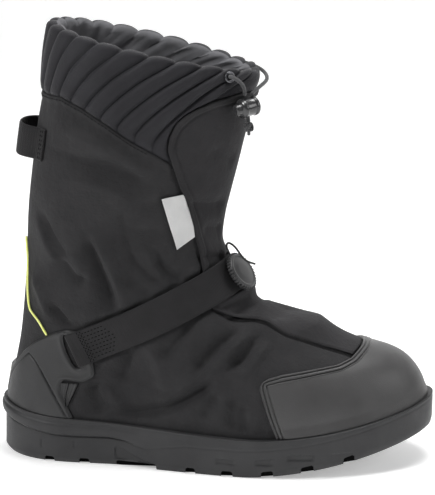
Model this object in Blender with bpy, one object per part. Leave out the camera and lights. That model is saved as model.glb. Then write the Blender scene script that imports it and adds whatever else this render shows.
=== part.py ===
"""Right-foot winter overshoe.

A hollow fabric upper stands in a cupped rubber outsole. It has a rubber toe cap and heel counter,
a fabric flap down its front, a quilted collar with a drawcord, and an instep strap with a lace dial.
Metres, +Z up, the toe towards +X, the outer side of the foot towards -Y.
The origin is on the floor below the middle of the outsole's outline.
"""
import math

import bmesh
import bpy
import numpy as np
from mathutils import Vector

for leftover in list(bpy.data.objects):
    bpy.data.objects.remove(leftover, do_unlink=True)

# Driving sizes, in millimetres with x counted from the heel
MM = 0.001
LENGTH = 335.0
GAP = 0.3
WALL = 2.6
TOE_SPRING = 28.0
SPRING_START = 195.0
SPRING_POWER = 1.5
TOE_TIP = 8.0
COLUMNS = 42

# Outsole plan: distance from the heel, half width on the outer side, half width on the inner side
PLAN = [
    (44.0, 43.0, 43.0),
    (95.0, 47.5, 41.5),
    (145.0, 56.5, 46.5),
    (190.0, 63.8, 57.0),
    (215.0, 65.0, 62.0),
    (245.0, 63.0, 65.0),
    (275.0, 55.0, 62.0),
    (300.0, 42.0, 53.5),
    (320.0, 25.5, 40.0),
]
PLAN_WIDTH = 65.0

# Outsole side: row height above the floor, inset at the heel, inset at the front
SIDE_ROWS = [
    (0.0, 5.0, 1.2),
    (4.5, 2.4, 0.4),
    (20.5, 2.8, 0.2),
    (23.0, 0.4, 0.2),
]
LIP_CREST_INSET = (0.0, 0.3)
LIP_TOP_INSET = (1.8, 1.6)
HEEL_BAND_END = (92.0, 122.0)
# Lip height above the sprung floor line, by distance from the heel
LIP = [(0.0, 43.0), (22.0, 38.5), (60.0, 35.6), (130.0, 32.0), (215.0, 28.2), (285.0, 25.2),
       (335.0, 23.0)]

# Tread channels: start and end along the foot, depth
CHANNELS = [
    (39.3, 46.4, 4.6),
    (66.5, 74.1, 4.6),
    (95.5, 127.0, 4.6),
    (150.2, 157.4, 4.6),
    (177.9, 186.3, 4.6),
    (208.3, 217.3, 4.8),
    (238.4, 247.7, 5.0),
    (270.0, 278.0, 5.0),
]

# Upper: each ring runs from a back point to a front point, with its widths on each side of the foot.
# The last column goes from 0 for the foot's own plan to 1 for the leg's oval.
RINGS = [
    # back x, back z, front x, front z, outer, inner, oval
    (8.5, 20.0, 325.5, 44.0, 58.0, 58.0, 0.00),
    (6.5, 40.0, 326.8, 53.0, 58.6, 58.6, 0.00),
    (8.3, 54.0, 323.5, 64.0, 58.6, 58.6, 0.02),
    (10.5, 66.0, 313.5, 77.0, 57.0, 57.0, 0.08),
    (12.7, 77.0, 297.5, 85.0, 54.5, 54.0, 0.20),
    (14.7, 87.0, 276.0, 91.2, 51.5, 51.0, 0.35),
    (16.4, 98.0, 252.0, 102.2, 49.0, 48.0, 0.50),
    (18.0, 112.0, 227.0, 112.8, 47.5, 46.5, 0.70),
    (19.5, 127.0, 206.5, 119.5, 47.0, 46.0, 0.85),
    (20.7, 141.0, 190.0, 133.5, 47.0, 46.0, 1.00),
    (21.7, 156.0, 177.5, 150.0, 47.5, 47.0, 1.00),
    (22.6, 175.0, 171.0, 170.0, 48.5, 48.5, 1.00),
    (24.2, 200.0, 175.0, 199.0, 50.5, 50.5, 1.00),
    (27.8, 230.0, 183.0, 231.0, 52.5, 52.5, 1.00),
    (31.8, 258.0, 190.3, 261.0, 53.5, 53.5, 1.00),
    (36.0, 284.0, 196.8, 283.0, 53.5, 53.5, 1.00),
    (38.5, 312.0, 200.5, 295.0, 52.0, 52.0, 1.00),
    (42.5, 337.0, 199.0, 303.0, 49.0, 49.0, 1.00),
]
TOP_LEVEL = len(RINGS) - 1.0
LEVELS = [0.0, 0.9, 1.6, 2.3, 3.0, 3.8, 4.6, 5.4, 6.2, 7.0, 7.8, 8.6, 9.3, 9.9, 10.5, 11.2, 12.6, 14.4,
          TOP_LEVEL]
LEG_TAPER = 0.06


def natural_spline(rows):
    """A natural cubic spline through table rows, as a function of their first column."""
    table = np.asarray(rows, float)
    knots, values = table[:, 0], table[:, 1:]
    count = len(knots)
    step = np.diff(knots)
    system = np.eye(count)
    right = np.zeros_like(values)
    for i in range(1, count - 1):
        system[i, i - 1:i + 2] = step[i - 1], 2.0 * (step[i - 1] + step[i]), step[i]
        slope_after = (values[i + 1] - values[i]) / step[i]
        slope_before = (values[i] - values[i - 1]) / step[i - 1]
        right[i] = 6.0 * (slope_after - slope_before)
    bend = np.linalg.solve(system, right)

    def at(position):
        position = np.asarray(position, float)
        i = np.clip(np.searchsorted(knots, position) - 1, 0, count - 2)
        after = (knots[i + 1] - position)[..., None]
        before = (position - knots[i])[..., None]
        width = step[i][..., None]
        cubic = (bend[i] * after ** 3 + bend[i + 1] * before ** 3) / (6.0 * width)
        first = (values[i] / width - bend[i] * width / 6.0) * after
        second = (values[i + 1] / width - bend[i + 1] * width / 6.0) * before
        return cubic + first + second

    return at


def plan_angle(x):
    """The angle of the cosine spacing that puts columns close together at heel and toe."""
    return math.acos(1.0 - 2.0 * x / LENGTH)


plan_rows = [(0.0, 0.0, 0.0)]
plan_rows += [(plan_angle(x), outer, inner) for x, outer, inner in PLAN]
plan_rows += [(math.pi, -TOE_TIP, TOE_TIP)]
plan_at = natural_spline(plan_rows)
ring_at = natural_spline([(i,) + row for i, row in enumerate(RINGS)])
lip_at = natural_spline(LIP)


def spring(x):
    """How far the toe spring lifts the floor line."""
    run = np.clip((np.asarray(x, float) - SPRING_START) / (LENGTH - SPRING_START), 0.0, None)
    return TOE_SPRING * run ** SPRING_POWER


def fade(x, start, end):
    """A smooth step from 1 before start to 0 after end."""
    t = np.clip((np.asarray(x, float) - start) / (end - start), 0.0, 1.0)
    return 1.0 - t * t * (3.0 - 2.0 * t)


def lip_height(x):
    """Height of the outsole's lip above the floor."""
    return lip_at(np.clip(x, 0.0, LENGTH))[..., 0] + spring(x)


def unroll(around):
    """Angle from heel (0) to toe (pi), and whether the column is on the outer side."""
    around = np.mod(np.asarray(around, float), 1.0)
    outer_side = around <= 0.5
    return 2.0 * math.pi * np.where(outer_side, around, 1.0 - around), outer_side


def surface(level, around):
    """The upper's outer face: level counts rings up, around goes heel, outer side, toe, inner side."""
    level, around = np.broadcast_arrays(np.asarray(level, float), np.asarray(around, float))
    back_x, back_z, front_x, front_z, outer, inner, oval = np.moveaxis(ring_at(level), -1, 0)
    angle, outer_side = unroll(around)
    along = 0.5 - 0.5 * np.cos(angle)
    foot = plan_at(angle) / PLAN_WIDTH
    leg = np.sin(angle) + LEG_TAPER * np.sin(2.0 * angle)
    outer_y = -outer * (foot[..., 0] * (1.0 - oval) + leg * oval)
    inner_y = inner * (foot[..., 1] * (1.0 - oval) + leg * oval)
    x = back_x + along * (front_x - back_x)
    z = back_z + along * (front_z - spring(front_x) - back_z) + spring(x)
    return np.stack([x, np.where(outer_side, outer_y, inner_y), z], axis=-1)


def facing(level, around, step=0.002):
    """The outward direction of the upper's face."""
    level, around = np.broadcast_arrays(np.asarray(level, float), np.asarray(around, float))
    across = surface(level, around + step) - surface(level, around - step)
    upward = surface(level + step, around) - surface(level - step, around)
    normal = np.cross(across, upward)
    return normal / np.linalg.norm(normal, axis=-1, keepdims=True)


def skin(level, around, offset):
    """The upper's face moved outwards by an offset."""
    return surface(level, around) + np.asarray(offset, float)[..., None] * facing(level, around)


def find_level(around, test, low=-0.5, high=TOP_LEVEL + 0.5):
    """The level at which a rising test of the surface's points turns positive."""
    low = np.full(np.shape(around), low)
    high = np.full(np.shape(around), high)
    for _ in range(40):
        middle = 0.5 * (low + high)
        above = test(surface(middle, around)) > 0.0
        high = np.where(above, middle, high)
        low = np.where(above, low, middle)
    return 0.5 * (low + high)


def lip_level(around, rise):
    """The level at which the upper passes the outsole's lip, or a height above it."""
    return find_level(around, lambda p: p[..., 2] - lip_height(p[..., 0]) - rise, high=6.0)


around_columns = np.arange(COLUMNS) / COLUMNS


# Mesh helpers
def material(name, colour, roughness, metallic=0.0):
    """A named surface for one piece."""
    made = bpy.data.materials.new(name)
    made.use_nodes = True
    shader = made.node_tree.nodes["Principled BSDF"]
    shader.inputs["Base Color"].default_value = (*colour, 1.0)
    shader.inputs["Roughness"].default_value = roughness
    shader.inputs["Metallic"].default_value = metallic
    return made


def add_piece(name, points, faces, surface_material=None):
    """A mesh object from points in millimetres, facing out. Pieces with no material are cutters."""
    shifted = np.asarray(points, float) - np.array([LENGTH / 2.0, 0.0, 0.0])
    mesh = bpy.data.meshes.new(name)
    mesh.from_pydata([tuple(p) for p in shifted * MM], [], faces)
    work = bmesh.new()
    work.from_mesh(mesh)
    bmesh.ops.recalc_face_normals(work, faces=work.faces)
    work.to_mesh(mesh)
    work.free()
    piece = bpy.data.objects.new(name, mesh)
    bpy.context.scene.collection.objects.link(piece)
    if surface_material is None:
        piece.hide_render = True
        piece.display_type = "WIRE"
    else:
        mesh.materials.append(surface_material)
    return piece


def cut(piece, operation, cutter):
    """A live Boolean between a piece and a hidden cutter."""
    modifier = piece.modifiers.new(cutter.name, "BOOLEAN")
    modifier.operation = operation
    modifier.solver = "EXACT"
    modifier.object = cutter


def loop_faces(first, second, count):
    """Triangles between two closed loops of points, with the same diagonal in every loop."""
    faces = []
    for i in range(count):
        j = (i + 1) % count
        faces.append((first + i, first + j, second + j))
        faces.append((first + i, second + j, second + i))
    return faces


def ladder_faces(start, count):
    """Faces across a loop, from its outer side to its inner side."""
    half = count // 2
    faces = [(start, start + 1, start + count - 1)]
    for i in range(1, half - 1):
        faces.append((start + i, start + i + 1, start + count - i - 1, start + count - i))
    faces.append((start + half - 1, start + half, start + half + 1))
    return faces


def closed_stack(loops):
    """Points and faces of loops stacked into one solid, closed across its two end loops."""
    count = len(loops[0])
    faces = ladder_faces(0, count)
    for row in range(len(loops) - 1):
        faces += loop_faces(row * count, (row + 1) * count, count)
    faces += ladder_faces((len(loops) - 1) * count, count)
    return np.concatenate(loops), faces


def ring_of_sections(loops):
    """Points and faces of loops joined first to last, so the section closes on itself."""
    count = len(loops[0])
    faces = []
    for row in range(len(loops)):
        faces += loop_faces(row * count, (row + 1) % len(loops) * count, count)
    return np.concatenate(loops), faces


def rounded(outline, radius, steps=3):
    """A closed outline with its corners rounded; a row may give its own radius third."""
    result = []
    count = len(outline)
    for i in range(count):
        here = np.array(outline[i][:2], float)
        reach = outline[i][2] if len(outline[i]) > 2 else radius
        before = np.array(outline[i - 1][:2], float) - here
        after = np.array(outline[(i + 1) % count][:2], float) - here
        reach = min(reach, 0.45 * np.linalg.norm(before), 0.45 * np.linalg.norm(after))
        start = here + reach * before / np.linalg.norm(before)
        end = here + reach * after / np.linalg.norm(after)
        for k in range(steps + 1):
            t = k / steps
            result.append((1 - t) ** 2 * start + 2 * t * (1 - t) * here + t * t * end)
    return result


def side_prism(name, outline, y_from=-120.0, y_to=120.0):
    """A cutter with this outline in the side view."""
    count = len(outline)
    points = [(p[0], y, p[1]) for y in (y_from, y_to) for p in outline]
    faces = loop_faces(0, count, count)
    faces += [tuple(range(count)), tuple(range(2 * count - 1, count - 1, -1))]
    return add_piece(name, points, faces)


def overlay(name, outline, inner, outer, surface_material, y_from=-120.0, y_to=120.0):
    """A piece cut between two larger forms of the upper, inside an outline of the side view."""
    foot = skin(lip_level(around_columns, GAP), around_columns, np.array(outer))
    foot[:, 2] = lip_height(foot[:, 0]) + 2.0 * GAP
    body = [foot] + [skin(level, around_columns, np.array(outer)) for level in LEVELS if level > 1.4]
    body.append(skin(TOP_LEVEL + 0.3, around_columns, np.array(outer)))
    core = [skin(level, around_columns, np.array(inner)) for level in LEVELS + [TOP_LEVEL + 0.6]]
    piece = add_piece(name, *closed_stack(body), surface_material)
    cut(piece, "INTERSECT", side_prism(name + "_outline", outline, y_from, y_to))
    cut(piece, "DIFFERENCE", add_piece(name + "_core", *closed_stack(core)))
    return piece


# Materials
rubber = material("outsole_rubber", (0.058, 0.058, 0.064), 0.62)
cap_rubber = material("toe_cap_rubber", (0.075, 0.075, 0.080), 0.55)
counter_rubber = material("heel_counter_rubber", (0.062, 0.062, 0.068), 0.55)
foam = material("insole_foam", (0.05, 0.05, 0.055), 0.9)
shell_fabric = material("upper_fabric", (0.032, 0.032, 0.035), 0.85)
flap_fabric = material("flap_fabric", (0.040, 0.040, 0.044), 0.85)
quilt_fabric = material("collar_fabric", (0.028, 0.028, 0.033), 0.6)
webbing = material("strap_webbing", (0.028, 0.027, 0.030), 0.7)
dial_plastic = material("dial_base_plastic", (0.02, 0.02, 0.022), 0.5)
knob_plastic = material("dial_knob_plastic", (0.14, 0.14, 0.15), 0.45)
lace_fibre = material("dial_lace_fibre", (0.012, 0.012, 0.013), 0.5)
cord_fibre = material("drawcord_fibre", (0.05, 0.05, 0.055), 0.7)
eyelet_metal = material("eyelet_metal", (0.22, 0.22, 0.24), 0.3, 1.0)
lock_plastic = material("cord_lock_plastic", (0.05, 0.05, 0.055), 0.35)
loop_webbing = material("pull_loop_webbing", (0.035, 0.035, 0.038), 0.75)
label_cloth = material("side_label_cloth", (0.78, 0.78, 0.78), 0.8)
piping_tape = material("piping_tape", (0.60, 0.66, 0.22), 0.5)


# Outsole: loops up its side, over the lip and down into the cup
def sole_loop(height, heel_inset, front_inset):
    """One loop round the outsole's side at a height above the sprung floor line."""
    angle, outer_side = unroll(around_columns)
    along = 0.5 - 0.5 * np.cos(angle)
    inset = front_inset + (heel_inset - front_inset) * fade(along * LENGTH, *HEEL_BAND_END)
    x = inset + along * (LENGTH - 2.0 * inset)
    half = plan_at(angle) - (inset * np.sin(angle))[..., None]
    y = np.where(outer_side, -half[..., 0], half[..., 1])
    rise = height(x) if callable(height) else height + spring(x)
    return np.stack([x, y, np.broadcast_to(rise, x.shape)], axis=-1)


def crest_height(x):
    """Height of the lip's widest line above the floor."""
    return 0.55 * lip_height(x) + 0.45 * (spring(x) + SIDE_ROWS[-1][0])


sole_loops = [sole_loop(height, heel, front) for height, heel, front in SIDE_ROWS]
sole_loops.append(sole_loop(crest_height, *LIP_CREST_INSET))
sole_loops.append(sole_loop(lip_height, *LIP_TOP_INSET))
sole_loops.append(skin(lip_level(around_columns, 0.0), around_columns, np.array(GAP)))
cup_floor = skin(0.0, around_columns, np.array(GAP))
cup_floor[:, 2] -= GAP
sole_loops.append(cup_floor)
outsole = add_piece("outsole", *closed_stack(sole_loops), rubber)
for index, (start, end, depth) in enumerate(CHANNELS):
    top = depth + float(spring(0.5 * (start + end)))
    tilt = float(spring(end) - spring(start)) * 0.5
    channel = [(start, -9.0), (end, -9.0), (end, top + tilt), (start, top - tilt)]
    cut(outsole, "DIFFERENCE", side_prism(f"tread_channel_{index}", rounded(channel, 1.2, 2)))

# Insole: a sheet on the cup's floor, inside the upper's wall
INSOLE = 3.5
insole_loops = []
for height in (GAP, GAP + INSOLE):
    loop = skin(0.15, around_columns, np.array(-WALL - 0.5))
    floor_z = surface(0.0, around_columns)[:, 2]
    loop[:, 2] = floor_z + height
    insole_loops.append(loop)
add_piece("insole", *closed_stack(insole_loops), foam)

# Collar region in the side view, below which the shaft's fabric and the flap end
CUFF_SEAM = [(20.0, 285.0), (38.0, 283.5), (56.0, 284.0), (73.0, 277.5), (91.0, 267.0), (110.0, 254.0),
             (128.0, 243.5), (140.0, 235.5)]
FLAP_TOP = [(136.5, 248.0), (138.0, 262.0), (149.0, 274.0), (168.0, 283.5), (188.0, 287.5),
            (206.0, 286.0)]
collar_region = CUFF_SEAM + FLAP_TOP + [(230.0, 286.0), (230.0, 380.0), (20.0, 380.0)]

# Upper: outer and inner face of one wall, open at the bottom and at the collar
upper_loops = [skin(level, around_columns, np.array(0.0)) for level in LEVELS]
upper_loops += [skin(level, around_columns, np.array(-WALL)) for level in LEVELS[::-2]]
upper = add_piece("upper", *ring_of_sections(upper_loops), shell_fabric)
cut(upper, "DIFFERENCE", side_prism("shaft_top", collar_region))

# Toe cap, from the lip up to its stepped edge
CAP_EDGE = [(216.0, 15.0), (209.5, 52.0), (205.5, 72.5, 5.0), (222.0, 77.0), (246.0, 79.5),
            (262.0, 81.0), (272.0, 84.0), (279.5, 89.0), (285.5, 97.0), (289.5, 112.0)]
overlay("toe_cap", rounded(CAP_EDGE + [(350.0, 112.0), (350.0, 15.0)], 3.0, 2), GAP, 2.5, cap_rubber)

# Heel counter, with a wing and a strap slot on each side
COUNTER = [(-20.0, 30.0), (64.0, 30.0), (61.8, 36.0), (57.0, 46.0), (51.8, 57.5), (53.5, 66.0),
           (70.0, 64.8), (78.8, 70.0), (78.0, 79.0), (67.0, 104.0), (58.0, 105.2), (45.5, 101.0),
           (31.5, 92.3), (21.0, 82.5), (11.0, 68.0), (-20.0, 60.0)]
SLOT_CENTRE = (60.6, 88.0)
STRAP_SLOPE = math.radians(25.5)
SLOT_HALF = (2.1, 14.6)
along_strap = (math.cos(STRAP_SLOPE), math.sin(STRAP_SLOPE))
slot = [(SLOT_CENTRE[0] + a * SLOT_HALF[0] * along_strap[0] - b * SLOT_HALF[1] * along_strap[1],
         SLOT_CENTRE[1] + a * SLOT_HALF[0] * along_strap[1] + b * SLOT_HALF[1] * along_strap[0])
        for a, b in ((-1, -1), (1, -1), (1, 1), (-1, 1))]
counter = overlay("heel_counter", rounded(COUNTER, 3.0, 2), GAP, 2.9, counter_rubber)
cut(counter, "DIFFERENCE", side_prism("strap_slot", rounded(slot, 1.9, 2)))

# Front flap, from the collar down to the toe cap
FLAP_SIDE = [(145.0, 217.5), (150.0, 206.0), (154.0, 180.0), (158.0, 162.0), (162.0, 140.0),
             (169.0, 123.5), (178.0, 117.6), (190.0, 113.4), (204.0, 109.4), (218.0, 105.0),
             (232.0, 100.2), (246.0, 95.2), (260.0, 90.4), (273.4, 86.6), (278.8, 89.8), (284.8, 97.4),
             (288.8, 112.0)]
flap_outline = FLAP_TOP[::-1] + CUFF_SEAM[-1:] + FLAP_SIDE + [(300.0, 140.0), (230.0, 285.5)]
overlay("front_flap", flap_outline, GAP, 1.7, flap_fabric)

# Side label, sewn in along the flap's edge on the outer side
LABEL = [(131.0, 211.0), (146.8, 213.0), (149.4, 206.0), (153.2, 181.5), (153.8, 178.3), (141.0, 170.0)]
overlay("side_label", LABEL, 0.35, 1.1, label_cloth, y_to=0.0)

# Collar: a padded ring of leaning quilted ribs
RIBS = 12
RIB_COLUMNS = 3
FRONT_COLUMNS = 4
RIB_SPAN = 0.62
RIB_FAN = 0.50
RIB_BULGE = 3.2
COLLAR_WALL = 8.5
COLLAR_BOTTOM = [(0.0, 278.0), (60.0, 276.0), (140.0, 228.0), (200.0, 226.0), (240.0, 226.0)]
# Section rows: height from seam (0) to rim (1), depth inwards as a part of the wall, rib strength
COLLAR_ROWS = [
    (0.00, 0.00, 0.2),
    (0.14, 0.00, 0.8),
    (0.42, 0.00, 1.0),
    (0.72, 0.02, 1.0),
    (0.92, 0.10, 0.9),
    (1.00, 0.42, 0.5),
    (0.985, 0.78, 0.1),
    (0.90, 1.00, 0.0),
    (0.00, 1.00, 0.0),
]


def collar_column(index, rise):
    """Place round the collar of a column at a part of its height; ribs fan out towards the front."""
    fan = 1.0 + RIB_FAN * rise ** 1.2
    ribbed = RIBS * RIB_COLUMNS
    if index <= ribbed:
        return RIB_SPAN * index / ribbed * fan
    share = (index - ribbed) / FRONT_COLUMNS
    return RIB_SPAN * fan + (1.0 - RIB_SPAN * fan) * share


def collar_loop(rise, depth, strength):
    """One loop round the collar."""
    half = RIBS * RIB_COLUMNS + FRONT_COLUMNS
    indices = list(range(half + 1)) + list(range(half - 1, 0, -1))
    from_back = np.array([collar_column(i, rise) for i in indices]) / 2.0
    around = np.where(np.arange(len(indices)) <= half, from_back, 1.0 - from_back)
    low = find_level(around, lambda p: p[..., 2] - np.interp(p[..., 0], *np.transpose(COLLAR_BOTTOM)))
    level = low + (TOP_LEVEL - low) * rise
    ribbed = RIBS * RIB_COLUMNS
    phase = np.array([(i % RIB_COLUMNS) / RIB_COLUMNS if i < ribbed else 0.0 for i in indices])
    bulge = RIB_BULGE * strength * (1.0 - np.abs(2.0 * phase - 1.0) ** 2.0)
    return skin(level, around, bulge - 1.0 - depth * COLLAR_WALL)


collar = add_piece("collar", *ring_of_sections([collar_loop(*row) for row in COLLAR_ROWS]), quilt_fabric)
inset_region = [(x - GAP, z + GAP) for x, z in CUFF_SEAM + FLAP_TOP] + collar_region[-3:]
cut(collar, "INTERSECT", side_prism("collar_seam", inset_region))


# Instep strap: webbing that rises from the counter's slots and crosses the instep
STRAP_WIDTH = 27.0
STRAP_THICK = 1.8
# From the slot: distance along the strap, height of its middle above the upper
STRAP_RISE = [(0.0, 1.3), (0.0, 2.5), (0.8, 3.7), (2.6, 4.15), (10.5, 4.15), (13.5, 4.0), (18.0, 3.5),
              (24.0, 3.3)]


def strap_level(around, across):
    """The level at which the upper meets the strap's tilted plane, moved across its width."""
    def beyond(p):
        run, rise = p[..., 0] - SLOT_CENTRE[0], p[..., 2] - SLOT_CENTRE[1]
        return rise * along_strap[0] - run * along_strap[1] - across
    return find_level(around, beyond)


strap_around = np.linspace(0.03, 0.97, 600)
strap_line = surface(strap_level(strap_around, 0.0), strap_around)
strap_run = np.concatenate([[0.0], np.cumsum(np.linalg.norm(np.diff(strap_line, axis=0), axis=1))])
past_slot = np.nonzero(strap_line[:, 0] > SLOT_CENTRE[0])[0]
strap_run -= strap_run[past_slot[0]]
strap_length = strap_run[past_slot[-1]]


def strap_place(run, across, height):
    """A point of the strap at a distance from the outer slot, square across from its middle line."""
    base = np.interp(run, strap_run, strap_around)
    centre = surface(strap_level(base, 0.0), base)
    ahead = surface(strap_level(base + 0.002, 0.0), base + 0.002) - centre
    low, high = base - 0.05, base + 0.05
    for _ in range(20):
        middle = 0.5 * (low + high)
        beyond = np.sum((surface(strap_level(middle, across), middle) - centre) * ahead, axis=-1) > 0.0
        high = np.where(beyond, middle, high)
        low = np.where(beyond, low, middle)
    return skin(strap_level(low, across), low, height)


def webbing_band(name, path, place, width, thick, surface_material):
    """A flat band along a path of (distance, height) rows, put on the upper by a place function."""
    path = np.asarray(path, float)
    tangent = np.gradient(path, axis=0)
    tangent /= np.linalg.norm(tangent, axis=1, keepdims=True)
    normal = np.stack([-tangent[:, 1], tangent[:, 0]], axis=1)
    edges = []
    for side in (1.0, -1.0):
        moved = path + side * 0.5 * thick * normal
        for share in (-0.5, 0.0, 0.5):
            across = np.full(len(path), side * share * width)
            edges.append(place(moved[:, 0], across, moved[:, 1]))
    loops = [np.array([edge[i] for edge in edges]) for i in range(len(path))]
    return add_piece(name, *closed_stack(loops), surface_material)


column_run = np.interp(around_columns, strap_around, strap_run)
first_run = STRAP_RISE[-1][0] + 3.0
middle_run = [run for run in column_run if first_run < run < strap_length - first_run]
strap_path = STRAP_RISE + [(run, STRAP_RISE[-1][1]) for run in middle_run]
strap_path += [(strap_length - run, height) for run, height in reversed(STRAP_RISE)]
webbing_band("instep_strap", strap_path, strap_place, STRAP_WIDTH, STRAP_THICK, webbing)


# Turned pieces: rows of (radius, height) on an axis, with an optional knurl
def turned(name, rows, centre, axis, surface_material, columns=24, knurl=0.0, knurled_rows=()):
    """A closed turned solid whose first and last rows lie on the axis."""
    frame = Vector(axis).to_track_quat("Z", "Y").to_matrix()
    points = []
    faces = []
    for index, (radius, height) in enumerate(rows):
        on_axis = radius == 0.0
        for k in range(1 if on_axis else columns):
            turn = 2.0 * math.pi * k / columns
            reach = radius - (knurl if index in knurled_rows and k % 2 else 0.0)
            local = Vector((reach * math.cos(turn), reach * math.sin(turn), height))
            points.append(tuple(Vector(centre) + frame @ local))
    starts = [0] + [1 + columns * i for i in range(len(rows) - 1)]
    for i in range(1, len(rows) - 2):
        faces += loop_faces(starts[i], starts[i + 1], columns)
    last = len(points) - 1
    for k in range(columns):
        j = (k + 1) % columns
        faces.append((0, starts[1] + k, starts[1] + j))
        faces.append((last, starts[-2] + j, starts[-2] + k))
    return add_piece(name, points, faces, surface_material)


def ring_piece(name, section, centre, axis, surface_material, columns=16):
    """A turned ring from a closed section of (radius, height) rows."""
    frame = Vector(axis).to_track_quat("Z", "Y").to_matrix()
    loops = []
    for radius, height in section:
        loop = []
        for k in range(columns):
            turn = 2.0 * math.pi * k / columns
            local = Vector((radius * math.cos(turn), radius * math.sin(turn), height))
            loop.append(Vector(centre) + frame @ local)
        loops.append(np.array(loop))
    return add_piece(name, *ring_of_sections(loops), surface_material)


# Lace dial on the strap, a little to the outer side of the front
DIAL_AROUND = 0.468
DIAL_ACROSS = -3.0
DIAL_LIFT = 0.8
DIAL_BASE = [(0.0, 0.0), (10.5, 0.0), (11.0, 0.6), (11.0, 1.6), (0.0, 1.6)]
DIAL_KNOB = [(0.0, 1.9), (13.5, 1.9), (15.4, 2.9), (15.4, 5.4), (14.0, 6.5), (9.0, 6.9), (0.0, 7.0)]
dial_level = strap_level(np.array(DIAL_AROUND), np.array(DIAL_ACROSS))
dial_axis = facing(dial_level, DIAL_AROUND)
dial_height = STRAP_RISE[-1][1] + 0.5 * STRAP_THICK + DIAL_LIFT
dial_seat = skin(dial_level, np.array(DIAL_AROUND), np.array(dial_height))
turned("dial_base", DIAL_BASE, dial_seat, dial_axis, dial_plastic)
turned("dial_knob", DIAL_KNOB, dial_seat, dial_axis, knob_plastic, 36, 0.8, (2, 3))


# Cords: round tubes with closed ends
def cord(name, path, radius, surface_material, steps=4):
    """A round cord through points in millimetres, smoothed between them."""
    route = natural_spline([(i, *p) for i, p in enumerate(path)])
    places = route(np.linspace(0.0, len(path) - 1.0, steps * (len(path) - 1) + 1))
    curve = bpy.data.curves.new(name, "CURVE")
    curve.dimensions = "3D"
    curve.bevel_depth = radius * MM
    curve.bevel_resolution = 2
    curve.use_fill_caps = True
    spline = curve.splines.new("POLY")
    spline.points.add(len(places) - 1)
    for point, place in zip(spline.points, places):
        point.co = ((place[0] - LENGTH / 2.0) * MM, place[1] * MM, place[2] * MM, 1.0)
    curve.materials.append(surface_material)
    made = bpy.data.objects.new(name, curve)
    bpy.context.scene.collection.objects.link(made)
    return made


LACE_RADIUS = 0.8
LACE_PATH = [(178.9, -9.0, 160.4), (176.6, -9.5, 166.5), (178.6, -10.0, 169.2), (183.4, -10.5, 166.0),
             (187.4, -11.0, 160.6), (192.0, -11.2, 156.0), (198.5, -11.0, 153.6)]
cord("dial_lace", LACE_PATH, LACE_RADIUS, lace_fibre, 3)

# Collar's drawcord: an eyelet on each side, the cord to a lock in front, and its knotted tail
EYELET = [(2.3, 0.0), (4.3, 0.0), (4.3, 0.7), (3.5, 1.3), (2.7, 1.1), (2.3, 0.6)]
EYELET_LEVEL = 16.35
EYELET_AROUND = 0.385
EYELET_LIFT = 1.05
eyelets = {}
for name, around in (("eyelet_outer", EYELET_AROUND), ("eyelet_inner", 1.0 - EYELET_AROUND)):
    seat = skin(EYELET_LEVEL, np.array(around), np.array(EYELET_LIFT))
    eyelets[name] = (seat, facing(EYELET_LEVEL, around))
    ring_piece(name, EYELET, seat, eyelets[name][1], eyelet_metal)

LOCK_CENTRE = (194.5, -29.0, 278.0)
LOCK_AXIS = (0.72, 0.68, 0.12)
LOCK = [(0.0, -12.5), (3.6, -12.5), (4.4, -11.7), (4.4, -7.8), (6.0, -7.4), (7.4, -5.8), (7.4, 5.8),
        (6.0, 7.4), (0.0, 7.4)]
turned("cord_lock", LOCK, LOCK_CENTRE, LOCK_AXIS, lock_plastic, 20)

CORD_RADIUS = 1.4
CORD_START = 0.9
CORD_LEAVES = 3.6
exits = {}
for name, (seat, axis) in eyelets.items():
    exits[name] = [tuple(seat + axis * reach) for reach in (CORD_START, CORD_LEAVES)]
lock_top = Vector(LOCK_CENTRE) + Vector((0.0, 0.0, 9.4))
OUTER_CORD = exits["eyelet_outer"] + [(190.5, -35.5, 296.5), tuple(lock_top + Vector((-2.2, -2.0, 0.4)))]
cord("drawcord_outer", OUTER_CORD, CORD_RADIUS, cord_fibre, 4)
INNER_CORD = exits["eyelet_inner"] + [(198.0, 25.0, 298.0), (205.5, 6.0, 294.0), (203.0, -14.0, 292.0),
              tuple(lock_top + Vector((2.6, 2.4, 0.4)))]
cord("drawcord_inner", INNER_CORD, CORD_RADIUS, cord_fibre, 4)
lock_bottom = Vector(LOCK_CENTRE) - Vector((0.0, 0.0, 7.8))
KNOT = [(0.0, -6.5), (1.6, -6.5), (1.7, -4.0), (3.9, -2.6), (4.4, 0.0), (3.7, 2.8), (1.6, 4.0),
        (0.0, 4.0)]
knot_centre = lock_bottom + Vector((0.4, -0.3, -7.0))
cord("drawcord_tail", [tuple(lock_bottom), tuple(lock_bottom + Vector((0.2, -0.2, -1.3))),
                       tuple(lock_bottom + Vector((0.4, -0.3, -2.7)))], CORD_RADIUS, cord_fibre, 3)
turned("cord_knot", KNOT, knot_centre, (0.05, -0.05, 1.0), cord_fibre, 14)

# Finger loop of webbing across the back of the shaft
LOOP_WIDTH = 24.0
LOOP_THICK = 1.5
LOOP_HEIGHT = 246.0
LOOP_SCALE = 370.0
# Half of the loop, from its sewn end: distance from the middle of the back, height off the shaft
LOOP_PATH = [(33.0, 1.4), (27.0, 1.4), (22.5, 2.6), (18.0, 6.8), (12.5, 11.0), (6.5, 12.8)]


def loop_place(run, across, height):
    """A point of the finger loop."""
    around = run / LOOP_SCALE
    level = find_level(around, lambda p: p[..., 2] - LOOP_HEIGHT - across)
    return skin(level, around, height)


loop_path = [(-run, height) for run, height in LOOP_PATH] + [(0.0, 13.2)] + LOOP_PATH[::-1]
webbing_band("pull_loop", loop_path, loop_place, LOOP_WIDTH, LOOP_THICK, loop_webbing)

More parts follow.
